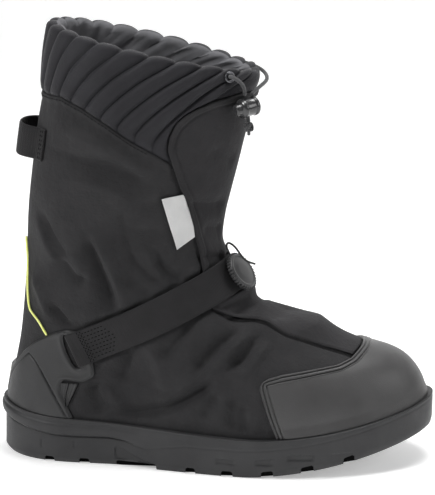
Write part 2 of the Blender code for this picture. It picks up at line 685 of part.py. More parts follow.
# Reflective piping up the two back seams: height, place round the upper
PIPING_RADIUS = 0.9
PIPING = [(101.0, 0.104), (105.0, 0.0985), (109.0, 0.0915), (113.0, 0.0797), (117.0, 0.0680), (125.0, 0.0608),
          (135.0, 0.0580), (146.0, 0.0564), (157.0, 0.0535), (165.0, 0.0465), (171.0, 0.0385)]
for name, mirrored in (("piping_outer", False), ("piping_inner", True)):
    path = []
    for height, around in PIPING:
        place = 1.0 - around if mirrored else around
        level = find_level(np.array(place), lambda p: p[..., 2] - height)
        path.append(tuple(skin(level, np.array(place), np.array(PIPING_RADIUS + 2.0 * GAP))))
    cord(name, path, PIPING_RADIUS, piping_tape, 1)
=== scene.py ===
# %% [markdown]
# A winter overshoe in Blender.
# The real object is a tall boot of dark cloth that goes over an ordinary shoe: a rubber sole, toe cap
# and heel counter, a quilted collar with a drawcord, and a webbing strap with a lace dial.
# Its plain solids come from the frame. This lesson dresses each of them in cloth, rubber and thread.
# Every piece stays where its solid is, so the dressed shoe still fits the part that is simulated.

# %% Load the frame
import math

import bmesh
import bpy
import numpy as np
from mathutils import Matrix, Vector, noise


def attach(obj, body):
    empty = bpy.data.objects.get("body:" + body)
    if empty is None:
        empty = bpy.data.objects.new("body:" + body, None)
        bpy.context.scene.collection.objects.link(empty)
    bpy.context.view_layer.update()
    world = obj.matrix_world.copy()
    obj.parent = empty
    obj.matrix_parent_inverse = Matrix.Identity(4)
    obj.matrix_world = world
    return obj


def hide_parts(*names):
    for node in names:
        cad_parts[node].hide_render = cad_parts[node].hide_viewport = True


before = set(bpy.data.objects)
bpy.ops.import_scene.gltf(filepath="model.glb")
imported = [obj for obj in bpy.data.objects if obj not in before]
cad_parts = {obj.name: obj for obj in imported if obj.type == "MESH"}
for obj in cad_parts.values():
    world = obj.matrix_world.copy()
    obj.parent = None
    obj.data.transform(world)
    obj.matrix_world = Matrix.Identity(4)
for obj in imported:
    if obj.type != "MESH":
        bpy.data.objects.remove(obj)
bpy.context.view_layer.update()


# %% [markdown]
# The camera stands a little above the outer side of the shoe and slightly towards the toe, with a long
# lens, as a catalogue photographer would stand. A long lens from two metres keeps the toe and the heel
# at nearly the same scale. The aim is moved by a few millimetres so that no lens shift is needed.

# %% Camera
VIEW_TURN = math.radians(6.0)
VIEW_RISE = math.radians(14.0)
VIEW_DISTANCE = 1.95
AIM_HEIGHT = 0.16
AIM_RIGHT = 0.00115
AIM_UP = 0.00283
SENSOR = 36.0
PICTURE_HEIGHT = 495.0  # pixels
FOCAL_LENGTH = 2550.0  # pixels of that picture
back = Vector((math.sin(VIEW_TURN) * math.cos(VIEW_RISE), -math.cos(VIEW_TURN) * math.cos(VIEW_RISE),
               math.sin(VIEW_RISE)))
right = (-back).cross(Vector((0.0, 0.0, 1.0))).normalized()
up = right.cross(-back)
aim = Vector((0.0, 0.0, AIM_HEIGHT)) + right * AIM_RIGHT + up * AIM_UP
lens = bpy.data.cameras.new("catalogue_camera")
lens.lens = FOCAL_LENGTH * SENSOR / PICTURE_HEIGHT
lens.sensor_width = SENSOR
camera = bpy.data.objects.new("catalogue_camera", lens)
camera.location = aim + back * VIEW_DISTANCE
camera.rotation_euler = back.to_track_quat("Z", "Y").to_euler()
bpy.context.scene.collection.objects.link(camera)
bpy.context.scene.camera = camera
print("camera at", [round(v, 3) for v in camera.location], "lens", round(lens.lens, 1), "mm")

# %% [markdown]
# Catalogue light comes from large soft lamps: one above, one at the heel's side and a weaker one at the
# toe's side. Behind the shoe stands a lit white board, and the floor is a white sheet that is
# lit as well, so both come out as plain white paper. Board and floor belong to the stage.

# %% Light and floor
LAMP_AIM = Vector((0.0, 0.0, 0.12))
studio = bpy.data.worlds.new("dim_surround")
studio.use_nodes = True
studio.node_tree.nodes["Background"].inputs["Color"].default_value = (1.0, 1.0, 1.0, 1.0)
studio.node_tree.nodes["Background"].inputs["Strength"].default_value = 0.08
bpy.context.scene.world = studio
bpy.context.scene.view_settings.view_transform = "Standard"


def soft_lamp(name, place, size, power):
    """A square lamp that looks at the middle of the shoe."""
    lamp = bpy.data.lights.new(name, "AREA")
    lamp.size = size
    lamp.energy = power
    stand = bpy.data.objects.new(name, lamp)
    stand.location = place
    stand.rotation_euler = (Vector(place) - LAMP_AIM).to_track_quat("Z", "Y").to_euler()
    bpy.context.scene.collection.objects.link(stand)


def lit_sheet(name, corners, glow):
    """A white sheet that is lit from behind."""
    mesh = bpy.data.meshes.new(name)
    mesh.from_pydata(corners, [], [(0, 1, 2, 3)])
    sheet = bpy.data.objects.new(name, mesh)
    bpy.context.scene.collection.objects.link(sheet)
    paper = bpy.data.materials.new(name)
    paper.use_nodes = True
    shader = paper.node_tree.nodes["Principled BSDF"]
    shader.inputs["Base Color"].default_value = (0.9, 0.9, 0.9, 1.0)
    shader.inputs["Roughness"].default_value = 0.9
    shader.inputs["Emission Color"].default_value = (1.0, 1.0, 1.0, 1.0)
    shader.inputs["Emission Strength"].default_value = glow
    mesh.materials.append(paper)


soft_lamp("top_lamp", (0.2, 0.1, 1.5), 0.7, 18.0)
soft_lamp("heel_side_lamp", (-1.3, -1.0, 1.3), 0.5, 22.0)
soft_lamp("toe_side_lamp", (1.6, -0.3, 0.9), 0.8, 8.0)
lit_sheet("pale_floor", [(-4, -4, 0), (4, -4, 0), (4, 3, 0), (-4, 3, 0)], 0.36)
lit_sheet("white_board", [(-4, 3, -1), (4, 3, -1), (4, 3, 5), (-4, 3, 5)], 0.8)
print("three lamps, a dim surround, a floor and a board")

# %% [markdown]
# The shoe's own shape comes next, because every cloth piece lies on it. A shoemaker works from a last;
# here the last is a stack of rings. Each ring has a back point, a front point and its widths, and a
# smooth curve runs through the rows. Sizes are millimetres, with x counted from the heel.

# %% The last as tables
MM = 0.001
LENGTH = 335.0
GAP = 0.3  # between neighbouring pieces
WALL = 2.6  # thickness of the upper
TOE_SPRING = 28.0  # lift of the sole at the tip of the toe
SPRING_START = 195.0
TOE_TIP = 8.0  # how far the tip lies towards the inner side
PLAN_WIDTH = 65.0  # half width of the plan where a ring has its full width
LEG_TAPER = 0.06  # how much fuller the leg is behind
# distance from the heel, half width outside, half width inside
PLAN = [(44.0, 43.0, 43.0), (95.0, 47.5, 41.5), (145.0, 56.5, 46.5), (190.0, 63.8, 57.0),
        (215.0, 65.0, 62.0), (245.0, 63.0, 65.0), (275.0, 55.0, 62.0), (300.0, 42.0, 53.5),
        (320.0, 25.5, 40.0)]
# distance from the heel, height of the sole's lip above its floor line
LIP = [(0.0, 43.0), (22.0, 38.5), (60.0, 35.6), (130.0, 32.0), (215.0, 28.2), (285.0, 25.2), (335.0, 23.0)]
# back x, back z, front x, front z, outer width, inner width, oval
RINGS = [
    (8.5, 20.0, 325.5, 44.0, 58.0, 58.0, 0.00),
    (6.5, 40.0, 326.8, 53.0, 58.6, 58.6, 0.00),
    (8.3, 54.0, 323.5, 64.0, 58.6, 58.6, 0.02),
    (10.5, 66.0, 313.5, 77.0, 57.0, 57.0, 0.08),
    (12.7, 77.0, 297.5, 85.0, 54.5, 54.0, 0.20),
    (14.7, 87.0, 276.0, 91.2, 51.5, 51.0, 0.35),
    (16.4, 98.0, 252.0, 102.2, 49.0, 48.0, 0.50),
    (18.0, 112.0, 227.0, 112.8, 47.5, 46.5, 0.70),
    (19.5, 127.0, 206.5, 119.5, 47.0, 46.0, 0.85),
    (20.7, 141.0, 190.0, 133.5, 47.0, 46.0, 1.00),
    (21.7, 156.0, 177.5, 150.0, 47.5, 47.0, 1.00),
    (22.6, 175.0, 171.0, 170.0, 48.5, 48.5, 1.00),
    (24.2, 200.0, 175.0, 199.0, 50.5, 50.5, 1.00),
    (27.8, 230.0, 183.0, 231.0, 52.5, 52.5, 1.00),
    (31.8, 258.0, 190.3, 261.0, 53.5, 53.5, 1.00),
    (36.0, 284.0, 196.8, 283.0, 53.5, 53.5, 1.00),
    (38.5, 312.0, 200.5, 295.0, 52.0, 52.0, 1.00),
    (42.5, 337.0, 199.0, 303.0, 49.0, 49.0, 1.00),
]
TOP_LEVEL = len(RINGS) - 1.0
print(len(RINGS), "rings")

# %% [markdown]
# A natural spline through the rows makes the last smooth. The surface function takes a level, which
# counts rings upwards, and a place around, which goes from the heel along the outer side to the toe.
# All of it works on whole arrays, so tens of thousands of points cost no more than a moment.


# %% The last as functions
def natural_spline(rows):
    """A smooth curve through table rows, as a function of their first column."""
    table = np.asarray(rows, float)
    knots, values = table[:, 0], table[:, 1:]
    count = len(knots)
    step = np.diff(knots)
    system = np.eye(count)
    side = np.zeros_like(values)
    for i in range(1, count - 1):
        system[i, i - 1:i + 2] = step[i - 1], 2.0 * (step[i - 1] + step[i]), step[i]
        side[i] = 6.0 * ((values[i + 1] - values[i]) / step[i] - (values[i] - values[i - 1]) / step[i - 1])
    bend = np.linalg.solve(system, side)

    def at(position):
        position = np.asarray(position, float)
        i = np.clip(np.searchsorted(knots, position) - 1, 0, count - 2)
        after = (knots[i + 1] - position)[..., None]
        before = (position - knots[i])[..., None]
        width = step[i][..., None]
        cubic = (bend[i] * after ** 3 + bend[i + 1] * before ** 3) / (6.0 * width)
        first = (values[i] / width - bend[i] * width / 6.0) * after
        return cubic + first + (values[i + 1] / width - bend[i + 1] * width / 6.0) * before

    return at


plan_rows = [(math.acos(1.0 - 2.0 * x / LENGTH), outer, inner) for x, outer, inner in PLAN]
plan_at = natural_spline([(0.0, 0.0, 0.0)] + plan_rows + [(math.pi, -TOE_TIP, TOE_TIP)])
ring_at = natural_spline([(i,) + row for i, row in enumerate(RINGS)])
lip_at = natural_spline(LIP)
print("half widths halfway along:", np.round(plan_at(0.5 * math.pi), 1), "mm")


# %% Heights and distances
def ease(t):
    """A smooth step from 0 to 1."""
    t = np.clip(t, 0.0, 1.0)
    return t * t * (3.0 - 2.0 * t)


def read_off(table, x):
    """The second number of a table of pairs, read off between its rows."""
    return np.interp(x, *np.transpose(table))


def run_along(path):
    """Distance along a path at each of its points."""
    return np.concatenate([[0.0], np.cumsum(np.linalg.norm(np.diff(path, axis=0), axis=1))])


def spring(x):
    """How far the toe spring lifts the floor line."""
    run = np.clip((np.asarray(x, float) - SPRING_START) / (LENGTH - SPRING_START), 0.0, None)
    return TOE_SPRING * run ** 1.5


def lip_height(x):
    """Height of the sole's lip above the floor."""
    return lip_at(np.clip(x, 0.0, LENGTH))[..., 0] + spring(x)


print("lip at the toe:", np.round(lip_height(LENGTH), 1), "mm above the floor")


# %% The surface of the last
def unroll(around):
    """Angle from heel to toe, and whether the place is on the outer side."""
    around = np.mod(np.asarray(around, float), 1.0)
    outer_side = around <= 0.5
    return 2.0 * math.pi * np.where(outer_side, around, 1.0 - around), outer_side


def surface(level, around):
    """A point of the last."""
    level, around = np.broadcast_arrays(np.asarray(level, float), np.asarray(around, float))
    back_x, back_z, front_x, front_z, outer, inner, oval = np.moveaxis(ring_at(level), -1, 0)
    angle, outer_side = unroll(around)
    along = 0.5 - 0.5 * np.cos(angle)
    foot = plan_at(angle) / PLAN_WIDTH
    leg = np.sin(angle) + LEG_TAPER * np.sin(2.0 * angle)
    outer_y = -outer * (foot[..., 0] * (1.0 - oval) + leg * oval)
    inner_y = inner * (foot[..., 1] * (1.0 - oval) + leg * oval)
    x = back_x + along * (front_x - back_x)
    z = back_z + along * (front_z - spring(front_x) - back_z) + spring(x)
    return np.stack([x, np.where(outer_side, outer_y, inner_y), z], axis=-1)


def facing(level, around, step=0.002):
    """The outward direction at a point of the last."""
    level, around = np.broadcast_arrays(np.asarray(level, float), np.asarray(around, float))
    across = surface(level, around + step) - surface(level, around - step)
    upward = surface(level + step, around) - surface(level - step, around)
    normal = np.cross(across, upward)
    return normal / np.linalg.norm(normal, axis=-1, keepdims=True)


def skin(level, around, offset):
    """The last, moved outwards by an offset."""
    return surface(level, around) + np.asarray(offset, float)[..., None] * facing(level, around)


print("widest point of the foot:", np.round(surface(1.0, 0.3), 1))


# %% Finding places on the last
def halve(low, high, beyond, turns=32):
    """The place between low and high where a test turns true."""
    for _ in range(turns):
        middle = 0.5 * (low + high)
        past = beyond(middle)
        high = np.where(past, middle, high)
        low = np.where(past, low, middle)
    return 0.5 * (low + high)


def find_level(around, test, low=-0.5, high=TOP_LEVEL + 0.5):
    """The level at which a rising test of the last's points turns positive."""
    def positive(level):
        return test(surface(level, around)) > 0.0

    shape = np.shape(around)
    return halve(np.full(shape, low), np.full(shape, high), positive)


def on_side(x, z, inner_side=False):
    """Level and place around of the points that the side view shows at (x, z)."""
    x, z = np.broadcast_arrays(np.asarray(x, float), np.asarray(z, float))

    def place(a):
        return 1.0 - a if inner_side else a

    def level_of(a):
        return find_level(place(a), lambda p: p[..., 2] - z)

    def ahead(a):
        return surface(level_of(a), place(a))[..., 0] > x

    a = halve(np.zeros(x.shape), np.full(x.shape, 0.5), ahead, 24)
    return level_of(a), place(a)


print("level and place 100 mm from the heel, 150 mm up:", np.round(on_side(100.0, 150.0), 2))


# %% Distances in the side view
def line_distance(x, z, line):
    """Distance from points to a line, which side they are on, and how far along it they are."""
    best = np.full(x.shape, 1e9)
    side = np.zeros(x.shape)
    part = np.zeros(x.shape)
    count = len(line) - 1
    for i in range(count):
        start, run = line[i], line[i + 1] - line[i]
        t = np.clip(((x - start[0]) * run[0] + (z - start[1]) * run[1]) / np.dot(run, run), 0.0, 1.0)
        dx, dz = x - start[0] - t * run[0], z - start[1] - t * run[1]
        distance = np.hypot(dx, dz)
        closer = distance < best
        best = np.where(closer, distance, best)
        side = np.where(closer, np.sign(run[0] * dz - run[1] * dx), side)
        part = np.where(closer, (i + t) / count, part)
    return best, side, part


def outline_distance(x, z, outline):
    """Distance to an outline of the side view, negative inside it."""
    ring = np.array([p[:2] for p in outline] + [outline[0][:2]], float)
    distance = line_distance(x, z, ring)[0]
    inside = np.zeros(x.shape, bool)
    for (x0, z0), (x1, z1) in zip(ring[:-1], ring[1:]):
        crosses = (z0 > z) != (z1 > z)
        inside ^= crosses & (x < x0 + (x1 - x0) * (z - z0) / (z1 - z0 if z1 != z0 else 1.0))
    return np.where(inside, -distance, distance)


print("distance helpers ready")

# %% [markdown]
# Cloth pieces are grids of points on the last. One helper turns such a grid into a mesh and lays out a
# UV map in millimetres along its threads, so that a weave keeps its scale on any piece. Another closes
# two grids into a thin slab, which is what an overlay is, and a third sweeps a round tube along a path.


# %% Mesh helpers
def make_piece(name, points, faces, face_uv, finishes, face_finish=None, shaded=True):
    """A mesh object from points in millimetres, with a UV pair for each face corner."""
    mesh = bpy.data.meshes.new(name)
    placed = (np.asarray(points, float) - np.array([LENGTH / 2.0, 0.0, 0.0])) * MM
    mesh.from_pydata(placed.tolist(), [], [tuple(face) for face in faces])
    if face_uv is not None:
        layer = mesh.uv_layers.new(name="Cloth")
        layer.data.foreach_set("uv", np.asarray(face_uv, np.float32).ravel())
    for finish in finishes:
        mesh.materials.append(finish)
    if face_finish is not None:
        mesh.polygons.foreach_set("material_index", np.asarray(face_finish, np.int32))
    work = bmesh.new()
    work.from_mesh(mesh)
    bmesh.ops.recalc_face_normals(work, faces=work.faces)
    work.to_mesh(mesh)
    work.free()
    mesh.polygons.foreach_set("use_smooth", np.full(len(mesh.polygons), shaded))
    piece = bpy.data.objects.new(name, mesh)
    bpy.context.scene.collection.objects.link(piece)
    return piece


print("mesh helper ready")


# %% Grids and slabs
def thread_lengths(grid, wrap):
    """Millimetres along each row and each column of a grid, with one more column where it wraps."""
    closed = np.concatenate([grid, grid[:, :1]], axis=1) if wrap else grid
    u = np.concatenate([np.zeros((len(closed), 1)),
                        np.cumsum(np.linalg.norm(np.diff(closed, axis=1), axis=2), axis=1)], axis=1)
    v = np.concatenate([np.zeros((1, closed.shape[1])),
                        np.cumsum(np.linalg.norm(np.diff(closed, axis=0), axis=2), axis=0)], axis=0)
    return np.stack([u, v], axis=-1)


def grid_corners(rows, columns, wrap):
    """Row and column numbers of the four corners of each face of a grid."""
    r, c = np.meshgrid(np.arange(rows - 1), np.arange(columns if wrap else columns - 1), indexing="ij")
    corners_r = np.stack([r, r, r + 1, r + 1], axis=-1).reshape(-1, 4)
    corners_c = np.stack([c, c + 1, c + 1, c], axis=-1).reshape(-1, 4)
    return corners_r, corners_c


def ring_sheet(name, grid, finishes, row_finish=None):
    """A closed wall: rows of points run round the shoe, and the last row joins the first."""
    rows, columns = grid.shape[:2]
    shut = np.concatenate([grid, grid[:1]], axis=0)
    uv = thread_lengths(shut, True)
    r, c = grid_corners(rows + 1, columns, True)
    faces = (r % rows) * columns + c % columns
    picks = None if row_finish is None else np.asarray(row_finish)[r[:, 0]]
    return make_piece(name, grid.reshape(-1, 3), faces.tolist(), uv[r, c], finishes, picks)


def slab(name, outer, inner, finishes):
    """A thin closed piece between an outer and an inner grid."""
    rows, columns = outer.shape[:2]
    count = rows * columns
    uv = thread_lengths(outer, False)
    r, c = grid_corners(rows, columns, False)
    front = r * columns + c
    flat = uv.reshape(-1, 2)
    edge = list(range(columns)) + [i * columns + columns - 1 for i in range(1, rows)]
    edge += [(rows - 1) * columns + i for i in range(columns - 2, -1, -1)]
    edge += [i * columns for i in range(rows - 2, 0, -1)]
    first, second = np.array(edge), np.roll(edge, -1)
    rim = np.stack([first, second, second + count, first + count], axis=-1)
    faces = np.concatenate([front, front[:, ::-1] + count, rim])
    return make_piece(name, np.concatenate([outer.reshape(-1, 3), inner.reshape(-1, 3)]), faces.tolist(),
                      np.concatenate([flat, flat])[faces], finishes)


print("grid helpers ready")


# %% Tubes and handing over
def sweep_frames(path):
    """Unit directions along a path and two square to it, turned as little as possible."""
    ahead = np.gradient(path, axis=0)
    ahead /= np.linalg.norm(ahead, axis=1, keepdims=True)
    side = np.cross(ahead[0], [0.31, 0.17, 0.93])
    sides = []
    for direction in ahead:
        side = side - direction * np.dot(side, direction)
        side /= np.linalg.norm(side)
        sides.append(side.copy())
    sides = np.array(sides)
    return ahead, sides, np.cross(ahead, sides)


def tube(name, path, radius, finish, sides=14):
    """A round cord along a path, with rounded ends."""
    path = np.asarray(path, float)
    ahead, one, two = sweep_frames(path)
    turn = 2.0 * math.pi * np.arange(sides) / sides
    spoke = np.cos(turn)[None, :, None] * one[:, None, :] + np.sin(turn)[None, :, None] * two[:, None, :]
    body = path[:, None, :] + radius * spoke
    tips = []
    for end, sign in ((0, -1.0), (-1, 1.0)):
        for share in (0.45, 0.8, 0.97):
            ring = path[end] + sign * ahead[end] * radius * 0.6 * share
            tips.append(ring + radius * math.sqrt(1.0 - share * share) * spoke[end])
    rings = np.concatenate([np.array(tips[2::-1]), body, np.array(tips[3:])])
    rows = len(rings)
    uv = thread_lengths(rings, True)
    r, c = grid_corners(rows, sides, True)
    faces = (r * sides + c % sides).tolist()
    corner_uv = uv[r, c].reshape(-1, 2).tolist()
    for row, order in ((0, range(sides - 1, -1, -1)), (rows - 1, range(sides))):
        faces.append([row * sides + k for k in order])
        corner_uv += [(0.0, 0.0)] * sides
    return make_piece(name, rings.reshape(-1, 3), faces, corner_uv, [finish])


def settle(piece, slot, *nodes):
    """Rides on the shoe's one body and stands for its solids; the slot is not used."""
    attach(piece, "root")
    if nodes:
        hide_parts(*nodes)
    print(piece.name, len(piece.data.polygons), "faces")
    return piece


print("tube helpers ready")

# %% [markdown]
# Three families of finish cover the shoe. Cloth has a plain weave of two crossed waves that read the UV
# map, a soft crumple from noise and a little sheen. Rubber has a fine moulded grain and cloudy wear.
# Cords and webbing have ribs or a braid. A helper keeps the node wiring short and readable.


# %% Node helpers
def wire(tree, kind, **inputs):
    """A node; inputs are values for its sockets, by name or as i0, i1, or outputs of other nodes."""
    node = tree.nodes.new(kind)
    for name, value in inputs.items():
        numbered = name[0] == "i" and name[1:].isdigit()
        socket = node.inputs[int(name[1:]) if numbered else name.replace("_", " ")]
        if isinstance(value, bpy.types.NodeSocket):
            tree.links.new(value, socket)
        else:
            socket.default_value = value
    return node


def sums(tree, operation, first, second=0.0):
    """One arithmetic step."""
    node = wire(tree, "ShaderNodeMath", i0=first, i1=second)
    node.operation = operation
    return node.outputs[0]


print("node helpers ready")


# %% What all finishes share
def new_finish(name, colour, roughness, metallic=0.0, sheen=0.0, coat=0.0, shine=0.5):
    """A material with its constant sizes set on the shader itself."""
    made = bpy.data.materials.new(name)
    made.use_nodes = True
    shader = made.node_tree.nodes["Principled BSDF"]
    shader.inputs["Base Color"].default_value = (*colour, 1.0)
    shader.inputs["Roughness"].default_value = roughness
    shader.inputs["Metallic"].default_value = metallic
    shader.inputs["Sheen Weight"].default_value = sheen
    shader.inputs["Specular IOR Level"].default_value = shine
    shader.inputs["Sheen Roughness"].default_value = 0.4
    shader.inputs["Coat Weight"].default_value = coat
    return made, made.node_tree, shader


def cloudy(tree, shader, dark, light, scale):
    """Colour that drifts between two tones over the piece."""
    place = wire(tree, "ShaderNodeTexCoord").outputs["Object"]
    cloud = wire(tree, "ShaderNodeTexNoise", Vector=place, Scale=scale, Detail=5.0, Roughness=0.6)
    ramp = wire(tree, "ShaderNodeValToRGB", Fac=cloud.outputs["Fac"])
    for stop, position, tone in zip(ramp.color_ramp.elements, (0.33, 0.68), (dark, light)):
        stop.position = position
        stop.color = (*tone, 1.0)
    tree.links.new(ramp.outputs["Color"], shader.inputs["Base Color"])
    return place


def raised(tree, height, distance, below=None):
    """A bump of a real height in metres, laid over an earlier one."""
    bump = wire(tree, "ShaderNodeBump", Height=height, Strength=1.0, Distance=distance)
    if below is not None:
        tree.links.new(below, bump.inputs["Normal"])
    return bump.outputs["Normal"]


def woven_height(tree, pitch_u, pitch_v):
    """Height of a plain weave from the UV map, in threads of these pitches in millimetres."""
    split = wire(tree, "ShaderNodeSeparateXYZ", Vector=wire(tree, "ShaderNodeUVMap").outputs["UV"])
    warp = sums(tree, "SINE", sums(tree, "MULTIPLY", split.outputs[0], 2.0 * math.pi / pitch_u))
    weft = sums(tree, "SINE", sums(tree, "MULTIPLY", split.outputs[1], 2.0 * math.pi / pitch_v))
    return sums(tree, "MULTIPLY", warp, weft)


print("finish helpers ready")


# %% Cloth, rubber and braid
def cloth(name, dark, light, roughness=0.8, pitch=(1.1, 1.1), thread=0.00008, crumple=0.0006, sheen=0.03):
    """Coated woven cloth."""
    made, tree, shader = new_finish(name, light, roughness, sheen=sheen, shine=0.25)
    place = cloudy(tree, shader, dark, light, 38.0)
    soft = wire(tree, "ShaderNodeTexNoise", Vector=place, Scale=85.0, Detail=5.0, Roughness=0.6)
    normal = raised(tree, soft.outputs["Fac"], crumple)
    nap = wire(tree, "ShaderNodeTexNoise", Vector=place, Scale=520.0, Detail=3.0, Roughness=0.6)
    normal = raised(tree, nap.outputs["Fac"], 0.25 * crumple, normal)
    normal = raised(tree, woven_height(tree, *pitch), thread, normal)
    tree.links.new(normal, shader.inputs["Normal"])
    return made


def rubber(name, dark, light, roughness=0.5, shine=0.5, grain=0.00012):
    """Moulded rubber with a fine grain and cloudy wear."""
    made, tree, shader = new_finish(name, light, roughness, shine=shine)
    place = cloudy(tree, shader, dark, light, 30.0)
    pebble = wire(tree, "ShaderNodeTexNoise", Vector=place, Scale=1300.0, Detail=2.0)
    scuff = wire(tree, "ShaderNodeTexNoise", Vector=place, Scale=70.0, Detail=6.0, Roughness=0.7)
    spread = wire(tree, "ShaderNodeMapRange", i0=scuff.outputs["Fac"], i1=0.3, i2=0.7,
                  i3=roughness - 0.07, i4=roughness + 0.1)
    tree.links.new(spread.outputs[0], shader.inputs["Roughness"])
    normal = raised(tree, pebble.outputs["Fac"], grain)
    tree.links.new(raised(tree, scuff.outputs["Fac"], 0.00015, normal), shader.inputs["Normal"])
    return made


def braid(name, dark, light, pitch=1.6, roughness=0.6, height=0.00022):
    """A braided cord: two sets of strands that cross at a slant."""
    made, tree, shader = new_finish(name, light, roughness, sheen=0.2)
    cloudy(tree, shader, dark, light, 180.0)
    split = wire(tree, "ShaderNodeSeparateXYZ", Vector=wire(tree, "ShaderNodeUVMap").outputs["UV"])
    strands = []
    for slant in ("ADD", "SUBTRACT"):
        leaning = sums(tree, slant, split.outputs[0], split.outputs[1])
        strands.append(sums(tree, "SINE", sums(tree, "MULTIPLY", leaning, 2.0 * math.pi / pitch)))
    tree.links.new(raised(tree, sums(tree, "MULTIPLY", *strands), height), shader.inputs["Normal"])
    return made


print("cloth, rubber and braid ready")

# %% [markdown]
# Cords come first, because their routes must match the solids. The lace makes a small loop between the
# flap and the dial. The drawcord leaves an eyelet on each side of the collar and meets in a spring lock,
# below which its two ends are tied in a knot. A swept tube keeps a UV map along the cord, which a braid
# needs. The short stretch on the outer side is under thirty millimetres, too short to count as free.

# %% Cords
drawcord_braid = braid("drawcord_fibre", (0.035, 0.035, 0.037), (0.07, 0.07, 0.074))
lace_braid = braid("dial_lace_fibre", (0.003, 0.003, 0.0033), (0.006, 0.006, 0.0066), pitch=0.9,
                   height=0.0001)
LACE_RADIUS = 0.8
LACE_PATH = [(178.9, -9.0, 160.4), (176.6, -9.5, 166.5), (178.6, -10.0, 169.2), (183.4, -10.5, 166.0),
             (187.4, -11.0, 160.6), (192.0, -11.2, 156.0), (198.5, -11.0, 153.6)]
EYELET_LEVEL = 16.35
EYELET_AROUND = 0.385
EYELET_LIFT = 1.05
LOCK_CENTRE = np.array([194.5, -29.0, 278.0])
LOCK_AXIS = (0.72, 0.68, 0.12)
CORD_RADIUS = 1.4
SHORTEST_FREE_CORD = 0.03  # metres


def smooth_route(points, steps):
    """A smooth line through a few points."""
    route = natural_spline([(i, *p) for i, p in enumerate(points)])
    return route(np.linspace(0.0, len(points) - 1.0, steps * (len(points) - 1) + 1))


def in_metres(path):
    """Path points in the frame of the shoe."""
    return ((np.asarray(path) - np.array([LENGTH / 2.0, 0.0, 0.0])) * MM).tolist()


def free_cord(name, points, radius, finish, slot, steps):
    """A cord that is held only at its two ends."""
    path = smooth_route(points, steps)
    piece = settle(tube(name + "_braid", path, radius, finish), slot, name)
    length = float(np.linalg.norm(np.diff(path, axis=0), axis=1).sum()) * MM
    if length >= SHORTEST_FREE_CORD:
        in_metres(path)[0]
        in_metres(path)
    print(name, "length in mm:", round(length * 1000.0, 1))


free_cord("dial_lace", LACE_PATH, LACE_RADIUS, lace_braid, "dial_lace_fibre", 5)
eyelet_seats = {}
for side, around in (("outer", EYELET_AROUND), ("inner", 1.0 - EYELET_AROUND)):
    eyelet_seats[side] = (skin(EYELET_LEVEL, around, EYELET_LIFT), facing(EYELET_LEVEL, around))
lock_top = LOCK_CENTRE + (0.0, 0.0, 9.4)
leaving = {side: [seat + axis * reach for reach in (0.9, 3.6)]
           for side, (seat, axis) in eyelet_seats.items()}
OUTER_CORD = leaving["outer"] + [(190.5, -35.5, 296.5), lock_top + (-2.2, -2.0, 0.4)]
INNER_CORD = leaving["inner"] + [(198.0, 25.0, 298.0), (205.5, 6.0, 294.0), (203.0, -14.0, 292.0),
                                 lock_top + (2.6, 2.4, 0.4)]
free_cord("drawcord_outer", OUTER_CORD, CORD_RADIUS, drawcord_braid, "drawcord_fibre", 8)
free_cord("drawcord_inner", INNER_CORD, CORD_RADIUS, drawcord_braid, "drawcord_fibre", 6)

# %% The knot below the lock
KNOT_CORD_RADIUS = 1.25
END_RADIUS = 1.2
lock_bottom = LOCK_CENTRE - (0.0, 0.0, 7.8)
tail_path = smooth_route([lock_bottom, lock_bottom + (0.2, -0.2, -1.3), lock_bottom + (0.4, -0.3, -2.7)], 4)
tail = tube("drawcord_tail_braid", tail_path, CORD_RADIUS, drawcord_braid)
settle(tail, "drawcord_fibre", "drawcord_tail")
knot_centre = lock_bottom + (0.4, -0.3, -7.0)
turn = np.linspace(0.0, 2.0 * math.pi, 97)
knot_path = np.stack([np.sin(turn) + 2.0 * np.sin(2.0 * turn), np.cos(turn) - 2.0 * np.cos(2.0 * turn),
                      -2.2 * np.sin(3.0 * turn)], axis=1) * (0.95, 0.95, 1.0) + knot_centre
knot = tube("cord_knot_braid", knot_path, KNOT_CORD_RADIUS, drawcord_braid, 10)
settle(knot, "drawcord_fibre", "cord_knot")
end_path = knot_centre + np.array([(0.3, -0.2, -1.5 - 0.6 * i) for i in range(8)])
settle(tube("drawcord_end_braid", end_path, END_RADIUS, drawcord_braid, 10), "drawcord_fibre")

# %% [markdown]
# The sole is one moulding of rubber: a side wall, a heel band that stands out, a lip that grips the upper
# and a cup inside. Rows of points climb the side, as in a lathe profile that follows the foot's plan.
# Shallow windows are pressed into the side by moving the points inwards. The tread channels go
# across, with a lug left standing near each edge, so they are cut with one exact Boolean. The cutters
# carry a near-black finish of painted shade, which the Boolean hands to the faces that it cuts, so the
# channels read as shadowed gaps.

# %% Sole profile
sole_rubber = rubber("outsole_rubber", (0.0272, 0.0272, 0.0285), (0.0362, 0.0362, 0.0376), 0.5, 0.3)
# painted shade: the channel faces are near black, so the gaps under the sole read as shadowed
channel_painted_shade = rubber("tread_channel_painted_shade", (0.002, 0.002, 0.0021), (0.004, 0.004, 0.0041), 0.9, 0.1)
HEEL_BAND_END = (92.0, 122.0)
# height above the floor line, inset at the heel, inset at the front
BEVEL_TOP = 4.5
SIDE_ROWS = [(0.0, 6.2, 2.2), (0.7, 5.2, 1.3), (2.5, 3.6, 0.8), (BEVEL_TOP, 2.4, 0.4)]
SIDE_ROWS += [(h, 2.4 + 0.025 * (h - BEVEL_TOP), 0.4 - 0.0125 * (h - BEVEL_TOP))
              for h in np.arange(5.3, 20.2, 0.8)]
SIDE_ROWS += [(20.5, 2.9, 0.25), (21.2, 3.5, 0.5), (21.9, 2.2, 0.3), (22.6, 0.9, 0.2), (23.4, 0.45, 0.2)]
